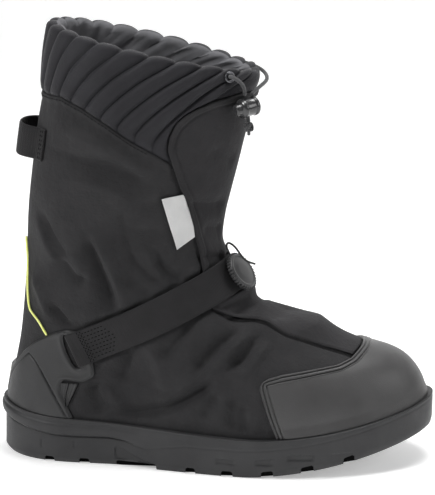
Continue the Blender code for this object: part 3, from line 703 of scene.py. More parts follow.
# distance from the heel, lower edge of the heel band above the floor line
BAND_EDGE = [(0.0, 31.5), (6.0, 30.0), (14.0, 27.6), (25.0, 25.2), (36.0, 23.4), (49.0, 22.0),
             (62.0, 21.9), (90.0, 22.5), (100.0, 21.1), (108.7, 18.6), (118.0, 16.4), (150.0, 21.6)]
# part of the way from the side to the lip's top, insets
LIP_ROWS = [(0.2, 0.1, 0.25), (0.42, 0.0, 0.3), (0.56, 0.2, 0.3), (0.63, 0.7, 0.3), (0.69, 1.3, 0.3),
            (0.76, 1.4, 0.3), (0.83, 1.2, 0.3), (0.92, 1.3, 0.55), (0.97, 1.5, 0.9), (1.0, 1.9, 1.6)]
# outlines pressed into the side, each with its depth
WINDOWS = [([(x0, z0), (x1, z0), (x1, z1), (x0, z1)], depth) for x0, x1, z0, z1, depth in (
    (174.0, 189.0, 9.5, 14.0, 1.0), (204.5, 217.5, 10.5, 15.0, 1.0), (228.6, 248.0, 15.0, 19.5, 1.0),
    (261.0, 277.0, 13.0, 20.0, 1.0), (36.0, 37.6, 11.0, 18.0, 0.6), (61.9, 63.5, 12.5, 18.0, 0.6))]
WINDOWS.append(([(94.1, 13.9), (96.7, 15.9), (107.1, 10.8), (126.3, 4.2), (95.3, 5.8)], 1.2))
# tread channels: where each starts and ends along the shoe, and its depth
CHANNELS = [(39.3, 46.4, 4.6), (66.5, 74.1, 4.6), (95.5, 127.0, 4.6), (150.2, 157.4, 4.6),
            (177.9, 186.3, 4.6), (208.3, 217.3, 4.8), (238.4, 247.7, 5.0), (270.0, 278.0, 5.0)]
LUG_INSET = (7.5, 4.5)  # at the heel, at the front
LUG_WIDTH = 11.0
SOLE_COLUMNS = 720
sole_around = np.arange(SOLE_COLUMNS) / SOLE_COLUMNS


def window_depth(x, z):
    """How far the side is pressed in at a point of the side view."""
    depth = np.zeros(np.shape(x))
    for outline, deep in WINDOWS:
        depth = np.maximum(depth, deep * ease((0.4 - outline_distance(x, z, outline)) / 0.8))
    return depth


def band_edge(x):
    """Height of the heel band's lower edge above the floor line."""
    return read_off(BAND_EDGE, x)


def side_height(h):
    """A row of the side, moved so that the rows end at the heel band's edge."""
    def at(x):
        stretched = BEVEL_TOP + (h - BEVEL_TOP) * (band_edge(x) - 6.1) / 15.5
        below = np.where(h <= BEVEL_TOP, h, stretched)
        return spring(x) + np.where(h > 20.0, band_edge(x) + h - 21.6, below)
    return at


def lip_row(part):
    """A row of the lip, part of the way from the top of the side to the top of the lip."""
    def at(x):
        return part * lip_height(x) + (1.0 - part) * (spring(x) + band_edge(x) + 1.8)
    return at


def sole_loop(height, heel_inset, front_inset):
    """One loop round the side of the sole."""
    angle, outer_side = unroll(sole_around)
    along = 0.5 - 0.5 * np.cos(angle)
    heel_part = 1.0 - ease((along * LENGTH - HEEL_BAND_END[0]) / (HEEL_BAND_END[1] - HEEL_BAND_END[0]))
    inset = front_inset + (heel_inset - front_inset) * heel_part
    x = inset + along * (LENGTH - 2.0 * inset)
    z = height(x)
    half = np.where(outer_side, plan_at(angle)[..., 0], plan_at(angle)[..., 1]) - inset * np.sin(angle)
    half = half - window_depth(x, z) * np.sign(half)
    return np.stack([x, np.where(outer_side, -half, half), np.broadcast_to(z, x.shape)], axis=-1)


sole_loops = [sole_loop(side_height(row[0]), *row[1:]) for row in SIDE_ROWS]
sole_loops += [sole_loop(lip_row(row[0]), *row[1:]) for row in LIP_ROWS]
lip_levels = find_level(sole_around, lambda p: p[..., 2] - lip_height(p[..., 0]), high=6.0)
sole_loops.append(skin(lip_levels, sole_around, np.full(SOLE_COLUMNS, GAP)))
cup_floor = skin(0.0, sole_around, np.full(SOLE_COLUMNS, GAP))
cup_floor[:, 2] -= GAP
sole_loops.append(cup_floor)
print(len(sole_loops), "loops of", SOLE_COLUMNS, "points")


# %% Sole mesh and tread
def across_faces(start, count):
    """Faces across a loop, from its outer side to its inner side."""
    half = count // 2
    faces = [(start, start + 1, start + count - 1)]
    faces += [(start + i, start + i + 1, start + count - i - 1, start + count - i)
              for i in range(1, half - 1)]
    return faces + [(start + half - 1, start + half, start + half + 1)]


def side_prism(name, outline, y_from=-90.0, y_to=90.0, finish=()):
    """A cutter with this outline in the side view."""
    count = len(outline)
    points = [(p[0], y, p[1]) for y in (y_from, y_to) for p in outline]
    faces = [(i, (i + 1) % count, count + (i + 1) % count, count + i) for i in range(count)]
    faces += [tuple(range(count)), tuple(range(2 * count - 1, count - 1, -1))]
    return make_piece(name, points, faces, None, finish, shaded=False)


def joined(pieces):
    """Several meshes as one object."""
    work = bmesh.new()
    for piece in pieces:
        work.from_mesh(piece.data)
    work.to_mesh(pieces[0].data)
    work.free()
    for piece in pieces[1:]:
        bpy.data.objects.remove(piece, do_unlink=True)
    return pieces[0]


def plain_mesh(piece):
    """The evaluated mesh of a piece, with its modifiers removed."""
    evaluated = piece.evaluated_get(bpy.context.evaluated_depsgraph_get())
    result = bpy.data.meshes.new_from_object(evaluated)
    piece.modifiers.clear()
    piece.data = result
    return piece


def carve(piece, operation, cutter):
    """An exact Boolean whose result is kept and whose cutter is removed."""
    modifier = piece.modifiers.new("carve", "BOOLEAN")
    modifier.operation = operation
    modifier.solver = "EXACT"
    modifier.object = cutter
    if cutter.data.materials:
        modifier.material_mode = "TRANSFER"
    plain_mesh(piece)
    bpy.data.objects.remove(cutter, do_unlink=True)
    return piece


loop_number, column = grid_corners(len(sole_loops), SOLE_COLUMNS, True)
sole_faces = across_faces(0, SOLE_COLUMNS)
sole_faces += (loop_number * SOLE_COLUMNS + column % SOLE_COLUMNS).tolist()
sole_faces += across_faces((len(sole_loops) - 1) * SOLE_COLUMNS, SOLE_COLUMNS)
outsole = make_piece("outsole_moulding", np.concatenate(sole_loops), sole_faces, None, [sole_rubber])
tread = []
for start, end, depth in CHANNELS:
    middle = 0.5 * (start + end)
    top = depth + float(spring(middle))
    tilt = 0.5 * float(spring(end) - spring(start))
    outline = [(start - 1.0, -9.0), (end + 1.0, -9.0), (end, top + tilt - 1.0), (end - 1.2, top + tilt),
               (start + 1.2, top - tilt), (start, top - tilt - 1.0)]
    outer_half, inner_half = plan_at(np.array(math.acos(1.0 - 2.0 * middle / LENGTH)))
    lug_face = LUG_INSET[middle > HEEL_BAND_END[1]]
    lug_back = lug_face + LUG_WIDTH
    for y_from, y_to in ((-90.0, lug_face - outer_half), (lug_back - outer_half, inner_half - lug_back),
                         (inner_half - lug_face, 90.0)):
        tread.append(side_prism("channel", outline, y_from, y_to, [channel_painted_shade]))
carve(outsole, "DIFFERENCE", joined(tread))
outsole.data.set_sharp_from_angle(angle=math.radians(38.0))
settle(outsole, "outsole_rubber", "outsole")

# %% [markdown]
# The insole is a thin sheet of foam faced with cloth, and it lies on the cup's floor. Only someone who
# looks into the shaft sees it. It is a crowned sheet on the same rings, so that it ends at the wall.

# %% Insole
insole_cloth = cloth("insole_cloth", (0.03, 0.03, 0.033), (0.05, 0.05, 0.055), 0.95, (2.0, 2.0), 0.0002)
INSOLE_COLUMNS = 160
# share of the way from the middle line to the rim, rise above the cup's floor
INSOLE_ROWS = [(0.0, GAP), (0.5, GAP), (0.99, GAP), (1.0, 0.9), (0.995, 3.0), (0.97, 3.7), (0.8, 3.9),
               (0.4, 4.0), (0.0, 4.0)]
insole_around = np.arange(INSOLE_COLUMNS) / INSOLE_COLUMNS
insole_rim = skin(0.15, insole_around, np.full(INSOLE_COLUMNS, -WALL - 0.5))
floor_height = surface(0.0, insole_around)[:, 2]
middle = np.stack([insole_rim[:, 0], np.zeros(INSOLE_COLUMNS), floor_height], axis=1)
insole_loops = []
for share, rise in INSOLE_ROWS:
    loop = middle + (insole_rim - middle) * (share * 0.999 + 0.001)
    loop[:, 2] = floor_height + rise
    insole_loops.append(loop)
settle(ring_sheet("insole_sheet", np.array(insole_loops), [insole_cloth]), "insole_foam", "insole")

# %% [markdown]
# Worn cloth is never smooth. The main creases are drawn as lines in the side view, each with a
# height and a width on either side, because a fold of cloth is steep on one side and easy on the other.
# The same relief moves the upper and the flap, so one never shows through the other. It fades out at the
# rubber pieces, and the strap presses the cloth in and lets it puff out along both of its edges.

# %% Creases
FOLD_DEPTH = 1.2
# height, width to the left of the line, width to the right, the line in the side view
CREASES = [
    (3.5, 10.1, 11.2, [(45, 262), (75, 256), (105, 240), (130, 222)]),
    (-5.2, 4.5, 10.1, [(48, 247), (66, 241), (79, 239), (95, 237), (108, 232), (119, 224), (131, 216)]),
    (2.6, 9.0, 9.0, [(60, 225), (78, 222), (98, 216), (112, 206)]),
    (3.2, 2.9, 6.7, [(32, 197), (39, 181), (46, 166), (54, 158)]),
    (-4.6, 3.4, 6.7, [(51, 164), (59, 154), (66, 147), (76, 146)]),
    (-3.2, 3.4, 7.8, [(36, 200), (44, 184), (53, 170), (60, 162)]),
    (-7.8, 2.7, 11.2, [(74, 184), (80, 168), (87, 152), (93, 136), (95, 119)]),
    (3.8, 9.0, 2.9, [(81, 184), (87, 168), (94, 152), (100, 136), (103, 121)]),
    (3.5, 5.6, 4.5, [(29, 147), (35, 135), (40, 122), (44, 110)]),
    (-5.8, 3.4, 5.6, [(42, 128), (50, 117), (59, 108), (65, 103)]),
    (-2.6, 4.0, 8.0, [(104, 206), (103, 194), (105, 181), (109, 170)]),
    (-1.8, 4.5, 7.0, [(103, 189), (118, 186), (135, 187)]),
    (2.2, 5.5, 5.5, [(109, 193), (117, 206), (125, 213), (135, 216)]),
    (-3.4, 4.0, 8.5, [(106, 178), (112, 163), (122, 151), (136, 140)]),
    (-4.6, 3.4, 8.0, [(124, 176), (131, 159), (139, 150), (149, 145)]),
    (2.4, 5.0, 5.0, [(117, 177), (124, 160), (134, 146)]),
    (-2.8, 4.2, 6.5, [(103, 150), (113, 142), (124, 132)]),
    (-6.1, 3.4, 7.8, [(194, 114), (179, 100), (166, 87), (153, 74)]),
    (4.3, 6.7, 4.5, [(199, 108), (184, 95), (171, 82), (158, 70)]),
    (-5.5, 3.4, 6.7, [(210, 108), (199, 97), (193, 88), (178, 79)]),
    (3.5, 4.5, 5.6, [(214, 101), (204, 90), (197, 80), (186, 72)]),
    (-6.7, 3.4, 9.0, [(178, 79), (166, 68), (153, 59), (134, 48), (114, 42), (93, 39)]),
    (4.3, 6.7, 4.5, [(168, 79), (155, 69), (140, 59), (124, 50)]),
    (-3.8, 4.2, 9.0, [(158, 121), (148, 109), (139, 97), (129, 85)]),
    (-4.2, 4.0, 8.0, [(103, 99), (106, 89), (104, 77), (98, 65)]),
    (3.2, 5.6, 5.6, [(120, 96), (128, 84), (132, 72), (130, 62)]),
    (-3.8, 3.4, 5.6, [(188, 66), (186, 48), (187, 34)]),
    (-3.5, 2.9, 4.5, [(197, 60), (194, 45), (196, 32)]),
    (-5.2, 4.2, 8.5, [(76, 68), (81, 54), (89, 40)]),
    (2.9, 4.5, 5.6, [(88, 66), (94, 54), (104, 46)]),
    (-3.8, 3.4, 6.7, [(176, 66), (169, 52), (164, 42)]),
    (-3.6, 3.6, 5.2, [(168, 119), (183, 126), (200, 127)]),
    (-2.8, 3.4, 4.2, [(178, 114), (191, 121), (204, 122)]),
    (2.6, 3.4, 3.4, [(176, 128), (188, 131), (200, 129)]),
]
# the same for the front, where the first number counts from its middle line
FRONT_CREASES = [
    (-3.8, 5.0, 9.0, [(-66, 206), (-44, 203), (-28, 201), (-9, 200)]),
    (-2.6, 3.6, 7.0, [(-40, 184), (-24, 182), (-6, 180)]),
    (-3.0, 3.6, 7.0, [(-46, 163), (-26, 160), (-6, 158)]),
    (-3.4, 5.0, 9.0, [(12, 200), (30, 202), (60, 207)]),
    (-2.2, 4.0, 7.0, [(10, 170), (26, 168), (48, 172)]),
    (-2.0, 5.6, 5.6, [(-50, 250), (-32, 240), (-14, 232)]),
    (-2.3, 6.7, 6.7, [(10, 246), (30, 236), (48, 228)]),
    (2.9, 5.0, 5.0, [(-44, 100), (-20, 103.5), (0, 104.5), (20, 103.5), (44, 100)]),
    (-2.3, 2.8, 2.8, [(-40, 111), (-16, 114), (0, 114.5), (20, 113)]),
]


def crease_relief(x, z, creases):
    """Height of the creases at points of the side view."""
    total = np.zeros(x.shape)
    for height, left, right, line in creases:
        smooth = smooth_route(line, 6)
        reach = 2.6 * max(left, right)
        (x0, z0), (x1, z1) = smooth.min(axis=0) - reach, smooth.max(axis=0) + reach
        near = (x > x0) & (x < x1) & (z > z0) & (z < z1)
        distance, side, part = line_distance(x[near], z[near], smooth)
        width = np.where(side > 0.0, left, right)
        ends = ease(part / 0.3) * ease((1.0 - part) / 0.25) * 0.93 + 0.07
        total[near] += FOLD_DEPTH * height * ends * np.exp(-(distance / width) ** 1.35)
    return total


print(len(CREASES), "creases on each side and", len(FRONT_CREASES), "across the front")

# %% Outlines of the overlays in the side view
CUFF_SEAM = [(20.0, 285.0), (38.0, 283.5), (56.0, 284.0), (73.0, 277.5), (91.0, 267.0), (110.0, 254.0),
             (128.0, 243.5), (140.0, 235.5)]
FLAP_TOP = [(136.5, 250.0), (137.0, 254.5), (138.4, 259.5), (140.6, 264.3), (144.2, 269.3), (149.6, 273.9),
            (156.5, 278.4), (168.0, 283.2), (188.0, 287.2), (206.0, 286.0)]
FLAP_SIDE = [(145.0, 217.5), (150.0, 206.0), (154.0, 180.0), (158.0, 162.0), (162.0, 140.0),
             (169.0, 123.5), (180.0, 118.6), (191.0, 115.4), (200.0, 114.2), (209.6, 111.4),
             (216.7, 107.0), (224.3, 102.7), (234.0, 99.4), (253.0, 92.8), (273.4, 86.4)]
CAP_REAR = [(225.5, 15.0), (219.4, 30.2), (213.1, 46.6), (208.6, 59.9), (206.4, 66.5), (206.5, 69.5),
            (208.6, 72.6)]
CAP_TOP = [(208.6, 72.6), (213.0, 74.8), (222.0, 77.0), (246.0, 79.5), (262.0, 81.0), (272.0, 84.0),
           (279.5, 89.0), (285.5, 97.0), (289.5, 112.0)]
COUNTER = [(-20.0, 30.0), (64.0, 30.0), (61.8, 36.0), (57.0, 46.0), (51.8, 57.5), (53.5, 66.0),
           (70.0, 64.8), (78.8, 70.0), (78.0, 79.0), (67.0, 104.0), (58.0, 105.2), (45.5, 101.0),
           (31.5, 92.3), (21.0, 82.5), (11.0, 68.0), (-20.0, 60.0)]
flap_region = FLAP_TOP[::-1] + CUFF_SEAM[-1:] + FLAP_SIDE
flap_region += [(300.0, 90.0), (300.0, 140.0), (230.0, 285.5)]
cap_region = CAP_REAR + CAP_TOP[1:] + [(350.0, 112.0), (350.0, 15.0)]
SLOT_CENTRE = (60.6, 88.0)
STRAP_SLOPE = math.radians(25.5)
STRAP_WIDTH = 27.0
print("four overlays")


# %% Relief of the cloth
INNER_SHARE = 0.8  # the hidden side has easier folds
FRONT_SCALE = 400.0  # millimetres once round the shaft, about
STRAP_PUFF = 1.5  # height of the cloth beside the strap
STRAP_PRESS = 0.4  # depth of the cloth under the strap


def relief(level, around):
    """Height of the cloth's creases above the last."""
    point = surface(level, around)
    x, y, z = np.moveaxis(point, -1, 0)
    wander = 5.0 * np.sin(z / 37.0 + 0.6)
    outer_folds = crease_relief(x, z, CREASES)
    inner_folds = INNER_SHARE * crease_relief(x + wander, z + 3.0, CREASES)
    inner_part = ease((y + 6.0) / 12.0)
    total = outer_folds * (1.0 - inner_part) + inner_folds * inner_part
    front = FRONT_SCALE * (np.mod(around, 1.0) - 0.5)
    total += crease_relief(front, z, FRONT_CREASES) * ease((x - 120.0) / 30.0)
    run, rise = x - SLOT_CENTRE[0], z - SLOT_CENTRE[1]
    from_strap = np.abs(rise * math.cos(STRAP_SLOPE) - run * math.sin(STRAP_SLOPE)) - 0.5 * STRAP_WIDTH
    on_run = ease((x - 66.0) / 8.0)
    puff = STRAP_PUFF * ease((from_strap + 1.0) / 5.0) * (1.0 - ease((from_strap - 4.0) / 12.0))
    under = 1.0 - ease((from_strap + 2.0) / 5.0)
    total = total + on_run * (puff - under * (np.maximum(total, 0.0) + STRAP_PRESS))
    total *= ease((z - lip_height(x) - 1.5) / 6.0)
    for region in (cap_region, COUNTER):
        total *= ease((outline_distance(x, z, region) - 1.0) / 7.0)
    return total


test_level, test_around = np.meshgrid(np.linspace(1.5, 14.0, 60), np.linspace(0.1, 0.4, 60), indexing="ij")
print("relief on the outer side from", relief(test_level, test_around).min().round(1), "to",
      relief(test_level, test_around).max().round(1), "mm")

# %% [markdown]
# The upper is one hollow shell of coated cloth with a smooth grey lining. Its outer face is a fine grid
# on the last, moved by the relief; the lining has fewer rows and keeps clear of the deepest creases.
# The top edge follows the cuff seam and runs on under the flap, where it is hidden.

# %% Upper
shell_cloth = cloth("upper_fabric", (0.0185, 0.018, 0.0192), (0.0275, 0.027, 0.0283), 0.78, crumple=0.0016)
lining_cloth = cloth("lining_cloth", (0.10, 0.10, 0.105), (0.16, 0.16, 0.17), 0.85, (0.9, 0.9), 0.00005,
                     0.0008)
UPPER_COLUMNS = 330
UPPER_ROWS = 229
LINING_STEP = 4
HEM_HEIGHT = 0.5
HEM_WIDTH = 4.0
HEM_GROOVE = 0.35
UNDER_FLAP = 0.55  # step down where the flap covers the upper
FLAP_GROOVE = 1.8  # depth of the line along the flap
upper_around = np.arange(UPPER_COLUMNS) / UPPER_COLUMNS
top_line = CUFF_SEAM + [(150.0, 248.0), (170.0, 268.0), (206.0, 276.0)]
upper_top = find_level(upper_around, lambda p: p[..., 2] - read_off(top_line, p[..., 0]))
upper_low = find_level(upper_around, lambda p: p[..., 2] - lip_height(p[..., 0]) + 5.0, high=6.0)
upper_level = upper_low + np.linspace(0.0, 1.0, UPPER_ROWS)[:, None] * (upper_top - upper_low)
upper_place = np.broadcast_to(upper_around, upper_level.shape)


def below_seam(point):
    """How far a point lies below the cuff seam."""
    return read_off(top_line, point[..., 0]) - point[..., 2]


def outer_offset(level, around):
    """Creases, a hem along the top and a step down under the flap."""
    point = surface(level, around)
    x, z = point[..., 0], point[..., 2]
    under = below_seam(point)
    hem = HEM_HEIGHT * (1.0 - ease((under - HEM_WIDTH) / 1.0))
    hem = hem - HEM_GROOVE * np.exp(-((under - 5.2) / 0.9) ** 2)
    to_flap = outline_distance(x, z, flap_region)
    under_flap = 1.0 - ease((to_flap + 1.5) / 2.0)
    height = relief(level, around) * ease((under - 5.0) / 9.0)
    ripples = 0.25 * np.sin(0.9 * x + 2.0 * np.sin(0.13 * z)) * np.exp(-(under / 10.0) ** 2)
    beside_flap = FLAP_GROOVE * np.exp(-((to_flap - 0.7) / 0.8) ** 2) * (z < 245.0)
    return height + (hem + ripples) * (1.0 - under_flap) - UNDER_FLAP * under_flap - beside_flap


outer_lift = outer_offset(upper_level, upper_place)
deepest = outer_lift
for step in range(1, LINING_STEP + 1):
    for axis in (0, 1):
        moved = [np.roll(outer_lift, turn, axis=axis) for turn in (-step, step)]
        deepest = np.minimum(deepest, np.minimum(*moved))
near_seam = 1.0 - ease((below_seam(surface(upper_level, upper_place)) - 2.0) / 5.0)
lining_lift = np.minimum(-WALL, deepest - 1.4) + 1.3 * near_seam
outer_face = skin(upper_level, upper_place, outer_lift)
inner_face = skin(upper_level, upper_place, lining_lift)[::LINING_STEP]
lip_roll = 0.5 * (outer_face[-1] + inner_face[-1]) + (0.0, 0.0, 0.5)
upper_grid = np.concatenate([outer_face, lip_roll[None], inner_face[::-1]])
row_finish = [0] * (UPPER_ROWS + 1) + [1] * len(inner_face)
upper = ring_sheet("upper_shell", upper_grid, [shell_cloth, lining_cloth], row_finish)
settle(upper, "upper_fabric", "upper")

# %% [markdown]
# The flap is a second layer of cloth down the front, from the collar to the toe cap. In the side view it
# has a left edge, a top edge and a bottom edge, so a grid is stretched between them: each row knows how
# wide the flap is at its level, and each column knows where it starts and ends. A grid that follows the
# edges can carry the hem: a raised band with a pressed line beside it.

# %% Flap grid
flap_cloth = cloth("flap_fabric", (0.0185, 0.0178, 0.0192), (0.027, 0.026, 0.0278), 0.78, crumple=0.0014)
flap_edge = [(136.5, 330.0), (136.5, 248.0)] + CUFF_SEAM[-1:] + FLAP_SIDE
flap_edge += [(310.0, 76.0), (370.0, 76.0), (370.0, 330.0)]
level_table = np.linspace(3.5, 16.5, 160)


def half_width(sign):
    """How far the flap reaches round the shoe on one side, at each level of a table."""
    def outside(h):
        p = surface(level_table, 0.5 + sign * h)
        return outline_distance(p[..., 0], p[..., 2], flap_edge) > 0.0
    return halve(np.zeros(level_table.shape), np.full(level_table.shape, 0.28), outside)


flap_outer, flap_inner = half_width(-1.0), half_width(1.0)


def column_place(c, level, levels, outer, inner):
    """Place around the shoe of a column, which goes from -1 on the outer edge to 1 on the inner edge."""
    return 0.5 + c * np.where(c < 0.0, np.interp(level, levels, outer), np.interp(level, levels, inner))


def flap_around(c, level):
    """Place around the shoe of a column of the flap."""
    return column_place(c, level, level_table, flap_outer, flap_inner)


def edge_level(place, c, low, high, height_of):
    """The level at which each column of a piece passes a line of the side view."""
    def past(level):
        p = surface(level, place(c, level))
        return p[..., 2] > height_of(p[..., 0])
    return halve(np.full(c.shape, low), np.full(c.shape, high), past)


FLAP_COLUMNS = 161
FLAP_ROWS = 230
flap_columns = np.linspace(-1.0, 1.0, FLAP_COLUMNS)
above_cap = [(x - 0.6, z + 0.6) for x, z in CAP_TOP]
upper_edge = [(130.0, 240.0)] + FLAP_TOP
flap_start = edge_level(flap_around, flap_columns, 3.6, 8.0, lambda x: read_off(above_cap, x))
flap_end = edge_level(flap_around, flap_columns, 11.0, 16.4, lambda x: read_off(upper_edge, x))
flap_level = flap_start + np.linspace(0.0, 1.0, FLAP_ROWS)[:, None] * (flap_end - flap_start)
flap_place = flap_around(np.broadcast_to(flap_columns, flap_level.shape), flap_level)
print("flap levels", flap_start.min().round(2), "to", flap_end.max().round(2))


# %% Flap
FLAP_HEM = 0.7
FLAP_HEM_WIDTH = 3.6
FLAP_HEM_GROOVE = 0.55
FLAP_HEM_END = 128.0  # the hem fades out above this height
FLAP_EDGE = 0.7  # thickness at the edge
FLAP_CROWN = 0.7  # more of it further in


def edge_distances(grid):
    """Millimetres from each point of a grid to its left, right, bottom and top edges."""
    u, v = np.moveaxis(thread_lengths(grid, False), -1, 0)
    return u, u[:, -1:] - u, v, v[-1:] - v


flap_base = surface(flap_level, flap_place)
bottom = edge_distances(flap_base)[2]
rim = np.maximum(-outline_distance(flap_base[..., 0], flap_base[..., 2], flap_region), 0.0)
body_height = relief(flap_level, flap_place) * ease(rim / 5.0 + 0.25)
hem = FLAP_HEM * ease(rim / 0.8) * (1.0 - ease((rim - FLAP_HEM_WIDTH) / 0.8))
hem = hem - FLAP_HEM_GROOVE * np.exp(-((rim - 4.9) / 0.7) ** 2)
hem = hem * ease((flap_base[..., 2] - FLAP_HEM_END) / 25.0)
thickness = FLAP_EDGE + FLAP_CROWN * ease(np.minimum(rim, bottom) / 0.9)
flap = slab("front_flap_cloth", skin(flap_level, flap_place, body_height + GAP + thickness + hem),
            skin(flap_level, flap_place, body_height + GAP), [flap_cloth])
settle(flap, "flap_fabric", "front_flap")

# %% [markdown]
# The collar is quilted: cloth is sewn through a soft filling along leaning lines, so a row of puffed ribs
# fans out from the back towards the front and folds over the rim. It could be made by inflating a mesh
# with a cloth simulation. The seams here are so close together that drawing the puffed section of each
# rib is quicker and gives the same shape in every run. Small puckers run out from the sewn lines.

# %% Collar
quilt_cloth = cloth("collar_fabric", (0.0135, 0.013, 0.0158), (0.0195, 0.019, 0.0225), 0.6, (0.8, 0.8),
                    0.00005, 0.0006, 0.08)
RIBS = 11
RIB_COLUMNS = 20
FRONT_COLUMNS = 30
RIB_BULGE = 3.6
COLLAR_WALL = 8.5
FACE_ROWS = 58
RIM_ROWS = 14
CLOTH_RIM_ROWS = 6  # rows of the rim that still have the outer cloth
LINED_ROWS = 26
PUCKER = 0.45
GATHER = 2.2  # height of the wrinkles in the lining
EYELET_PAD = 1.7  # the collar lies flat at this height round an eyelet
COLLAR_BOTTOM = [(0.0, 278.0), (60.0, 276.0), (140.0, 228.0), (200.0, 226.0), (240.0, 226.0)]
ribbed = RIBS * RIB_COLUMNS
half_count = ribbed + FRONT_COLUMNS
collar_index = np.array(list(range(half_count + 1)) + list(range(half_count - 1, 0, -1)))
on_outer = np.arange(len(collar_index)) <= half_count
front_share = np.clip((collar_index - ribbed) / FRONT_COLUMNS, 0.0, 1.0)


def line_place(number, rise):
    """Place round the collar of a sewn line, at a part of the collar's height."""
    lean = np.clip((rise - 0.15) / 0.85, 0.0, None) ** 1.3
    return 0.019 + 0.0295 * number + (0.027 + 0.0125 * number) * lean


def collar_around(rise):
    """Place round the collar of each column; the lines lean forwards as they rise."""
    number = np.minimum(collar_index / RIB_COLUMNS, RIBS) - 1.0
    back_part = np.where(number < 0.0, (number + 1.0) * line_place(0.0, rise), line_place(number, rise))
    from_back = back_part + (0.5 - back_part) * front_share
    return np.where(on_outer, from_back, 1.0 - from_back)


phase = np.where(collar_index < ribbed, (collar_index % RIB_COLUMNS) / RIB_COLUMNS, 0.0)
puffed = (1.0 - np.abs(2.0 * phase - 1.0) ** 2.4) ** 0.8
puffed = np.where(collar_index >= ribbed, 0.55 * np.sin(math.pi * front_share ** 0.6) ** 0.5, puffed)


def collar_loop(rise, depth, strength, gather):
    """One loop round the collar: rise up its height, depth into its wall, strength of ribs and wrinkles."""
    around = collar_around(rise)
    low = find_level(around, lambda p: p[..., 2] - read_off(COLLAR_BOTTOM, p[..., 0]))
    level = low + (TOP_LEVEL - low) * (rise + 0.045 * (puffed - 0.6) * ease((rise - 0.6) / 0.3))
    point = surface(level, around)
    x, z = point[..., 0], point[..., 2]
    clear = ease((outline_distance(x, z, flap_region) + 0.4) / 2.2)
    over_seam = ease((z - read_off(top_line, x) + 0.5) / 3.5)
    pucker = np.array([noise.noise((0.55 * i, 60.0 * rise, 3.0)) for i in collar_index])
    bulge = strength * (RIB_BULGE * puffed + PUCKER * pucker * (1.0 - puffed) * (collar_index < ribbed))
    wrinkle = np.array([noise.noise((0.11 * i, 2.2 * rise, 9.0 + on))
                        for i, on in zip(collar_index, on_outer)])
    for seat, _ in eyelet_seats.values():
        under_ring = np.exp(-(np.linalg.norm(point - seat, axis=-1) / 6.0) ** 4)
        bulge = bulge * (1.0 - under_ring) + EYELET_PAD * under_ring * (depth < 0.5)
    offset = bulge * clear * over_seam - 1.0 - 0.4 * (1.0 - clear * over_seam) - depth * COLLAR_WALL
    return skin(level, around, offset + gather * GATHER * wrinkle)


collar_rows = [(rise, 0.02 * max(0.0, rise - 0.6) / 0.3, 0.35 + 0.65 * float(ease((rise - 0.05) / 0.2)), 0.0)
               for rise in np.linspace(0.0, 0.9, FACE_ROWS)]
for step in np.linspace(0.08, 1.0, RIM_ROWS):
    bend = math.pi * step
    fading = 1.0 - float(ease((step - 0.2) / 0.42))
    gathered = float(ease((step - 0.5) / 0.5))
    collar_rows.append((0.9 + 0.1 * math.sin(bend), 0.02 + 0.49 * (1.0 - math.cos(bend)), fading, gathered))
collar_rows += [(rise, 1.0, 0.0, 1.0) for rise in np.linspace(0.88, 0.0, LINED_ROWS)]
collar_grid = np.array([collar_loop(*row) for row in collar_rows])
cloth_rows = FACE_ROWS + CLOTH_RIM_ROWS
collar_finish = [0] * cloth_rows + [1] * (len(collar_rows) - cloth_rows)
collar = ring_sheet("collar_quilt", collar_grid, [quilt_cloth, lining_cloth], collar_finish)
settle(collar, "collar_fabric", "collar")

# %% [markdown]
# The toe cap is thick moulded rubber with a raised rim, two pressed lines along its edge and a skirt that
# flares out over the sole. Like the flap it is a grid between four edges: the sole's lip, the two rear
# edges and the top edge. Rows and columns crowd together at the rim, so that the pressed lines are real
# grooves.

# %% Toe cap
cap_rubber = rubber("toe_cap_rubber", (0.0475, 0.0465, 0.047), (0.061, 0.06, 0.0605), 0.42, 0.36)
CAP_THICK = 2.2
RIM_WIDTH = 7.5
CAP_SPAN = 230.0  # millimetres to one unit of the column numbers, about
CAP_RIM_HEIGHT = 0.7
GROOVE_PLACES = (2.6, 5.6)  # from the edge
GROOVE_DEPTH = 1.4
SKIRT_FLARE = 1.8
SKIRT_HEIGHT = 9.0


def rear_edge(sign):
    """Where the cap's rear edge meets each level of a table."""
    def ahead(h):
        p = surface(cap_levels, 0.5 + sign * h)
        return p[..., 0] < np.interp(p[..., 2], *np.transpose(CAP_REAR)[::-1])
    return halve(np.zeros(cap_levels.shape), np.full(cap_levels.shape, 0.3), ahead)


cap_levels = np.linspace(0.2, 6.0, 120)
cap_outer, cap_inner = rear_edge(-1.0), rear_edge(1.0)
rim_share = RIM_WIDTH / CAP_SPAN
rim_steps = np.arange(0.0, RIM_WIDTH, 0.34) / CAP_SPAN
cap_columns = np.concatenate([-1.0 + rim_steps, np.linspace(-1.0 + rim_share, 1.0 - rim_share, 210),
                              (1.0 - rim_steps)[::-1]])


def cap_around(c, level):
    """Place around the shoe of a column of the cap."""
    return column_place(c, level, cap_levels, cap_outer, cap_inner)


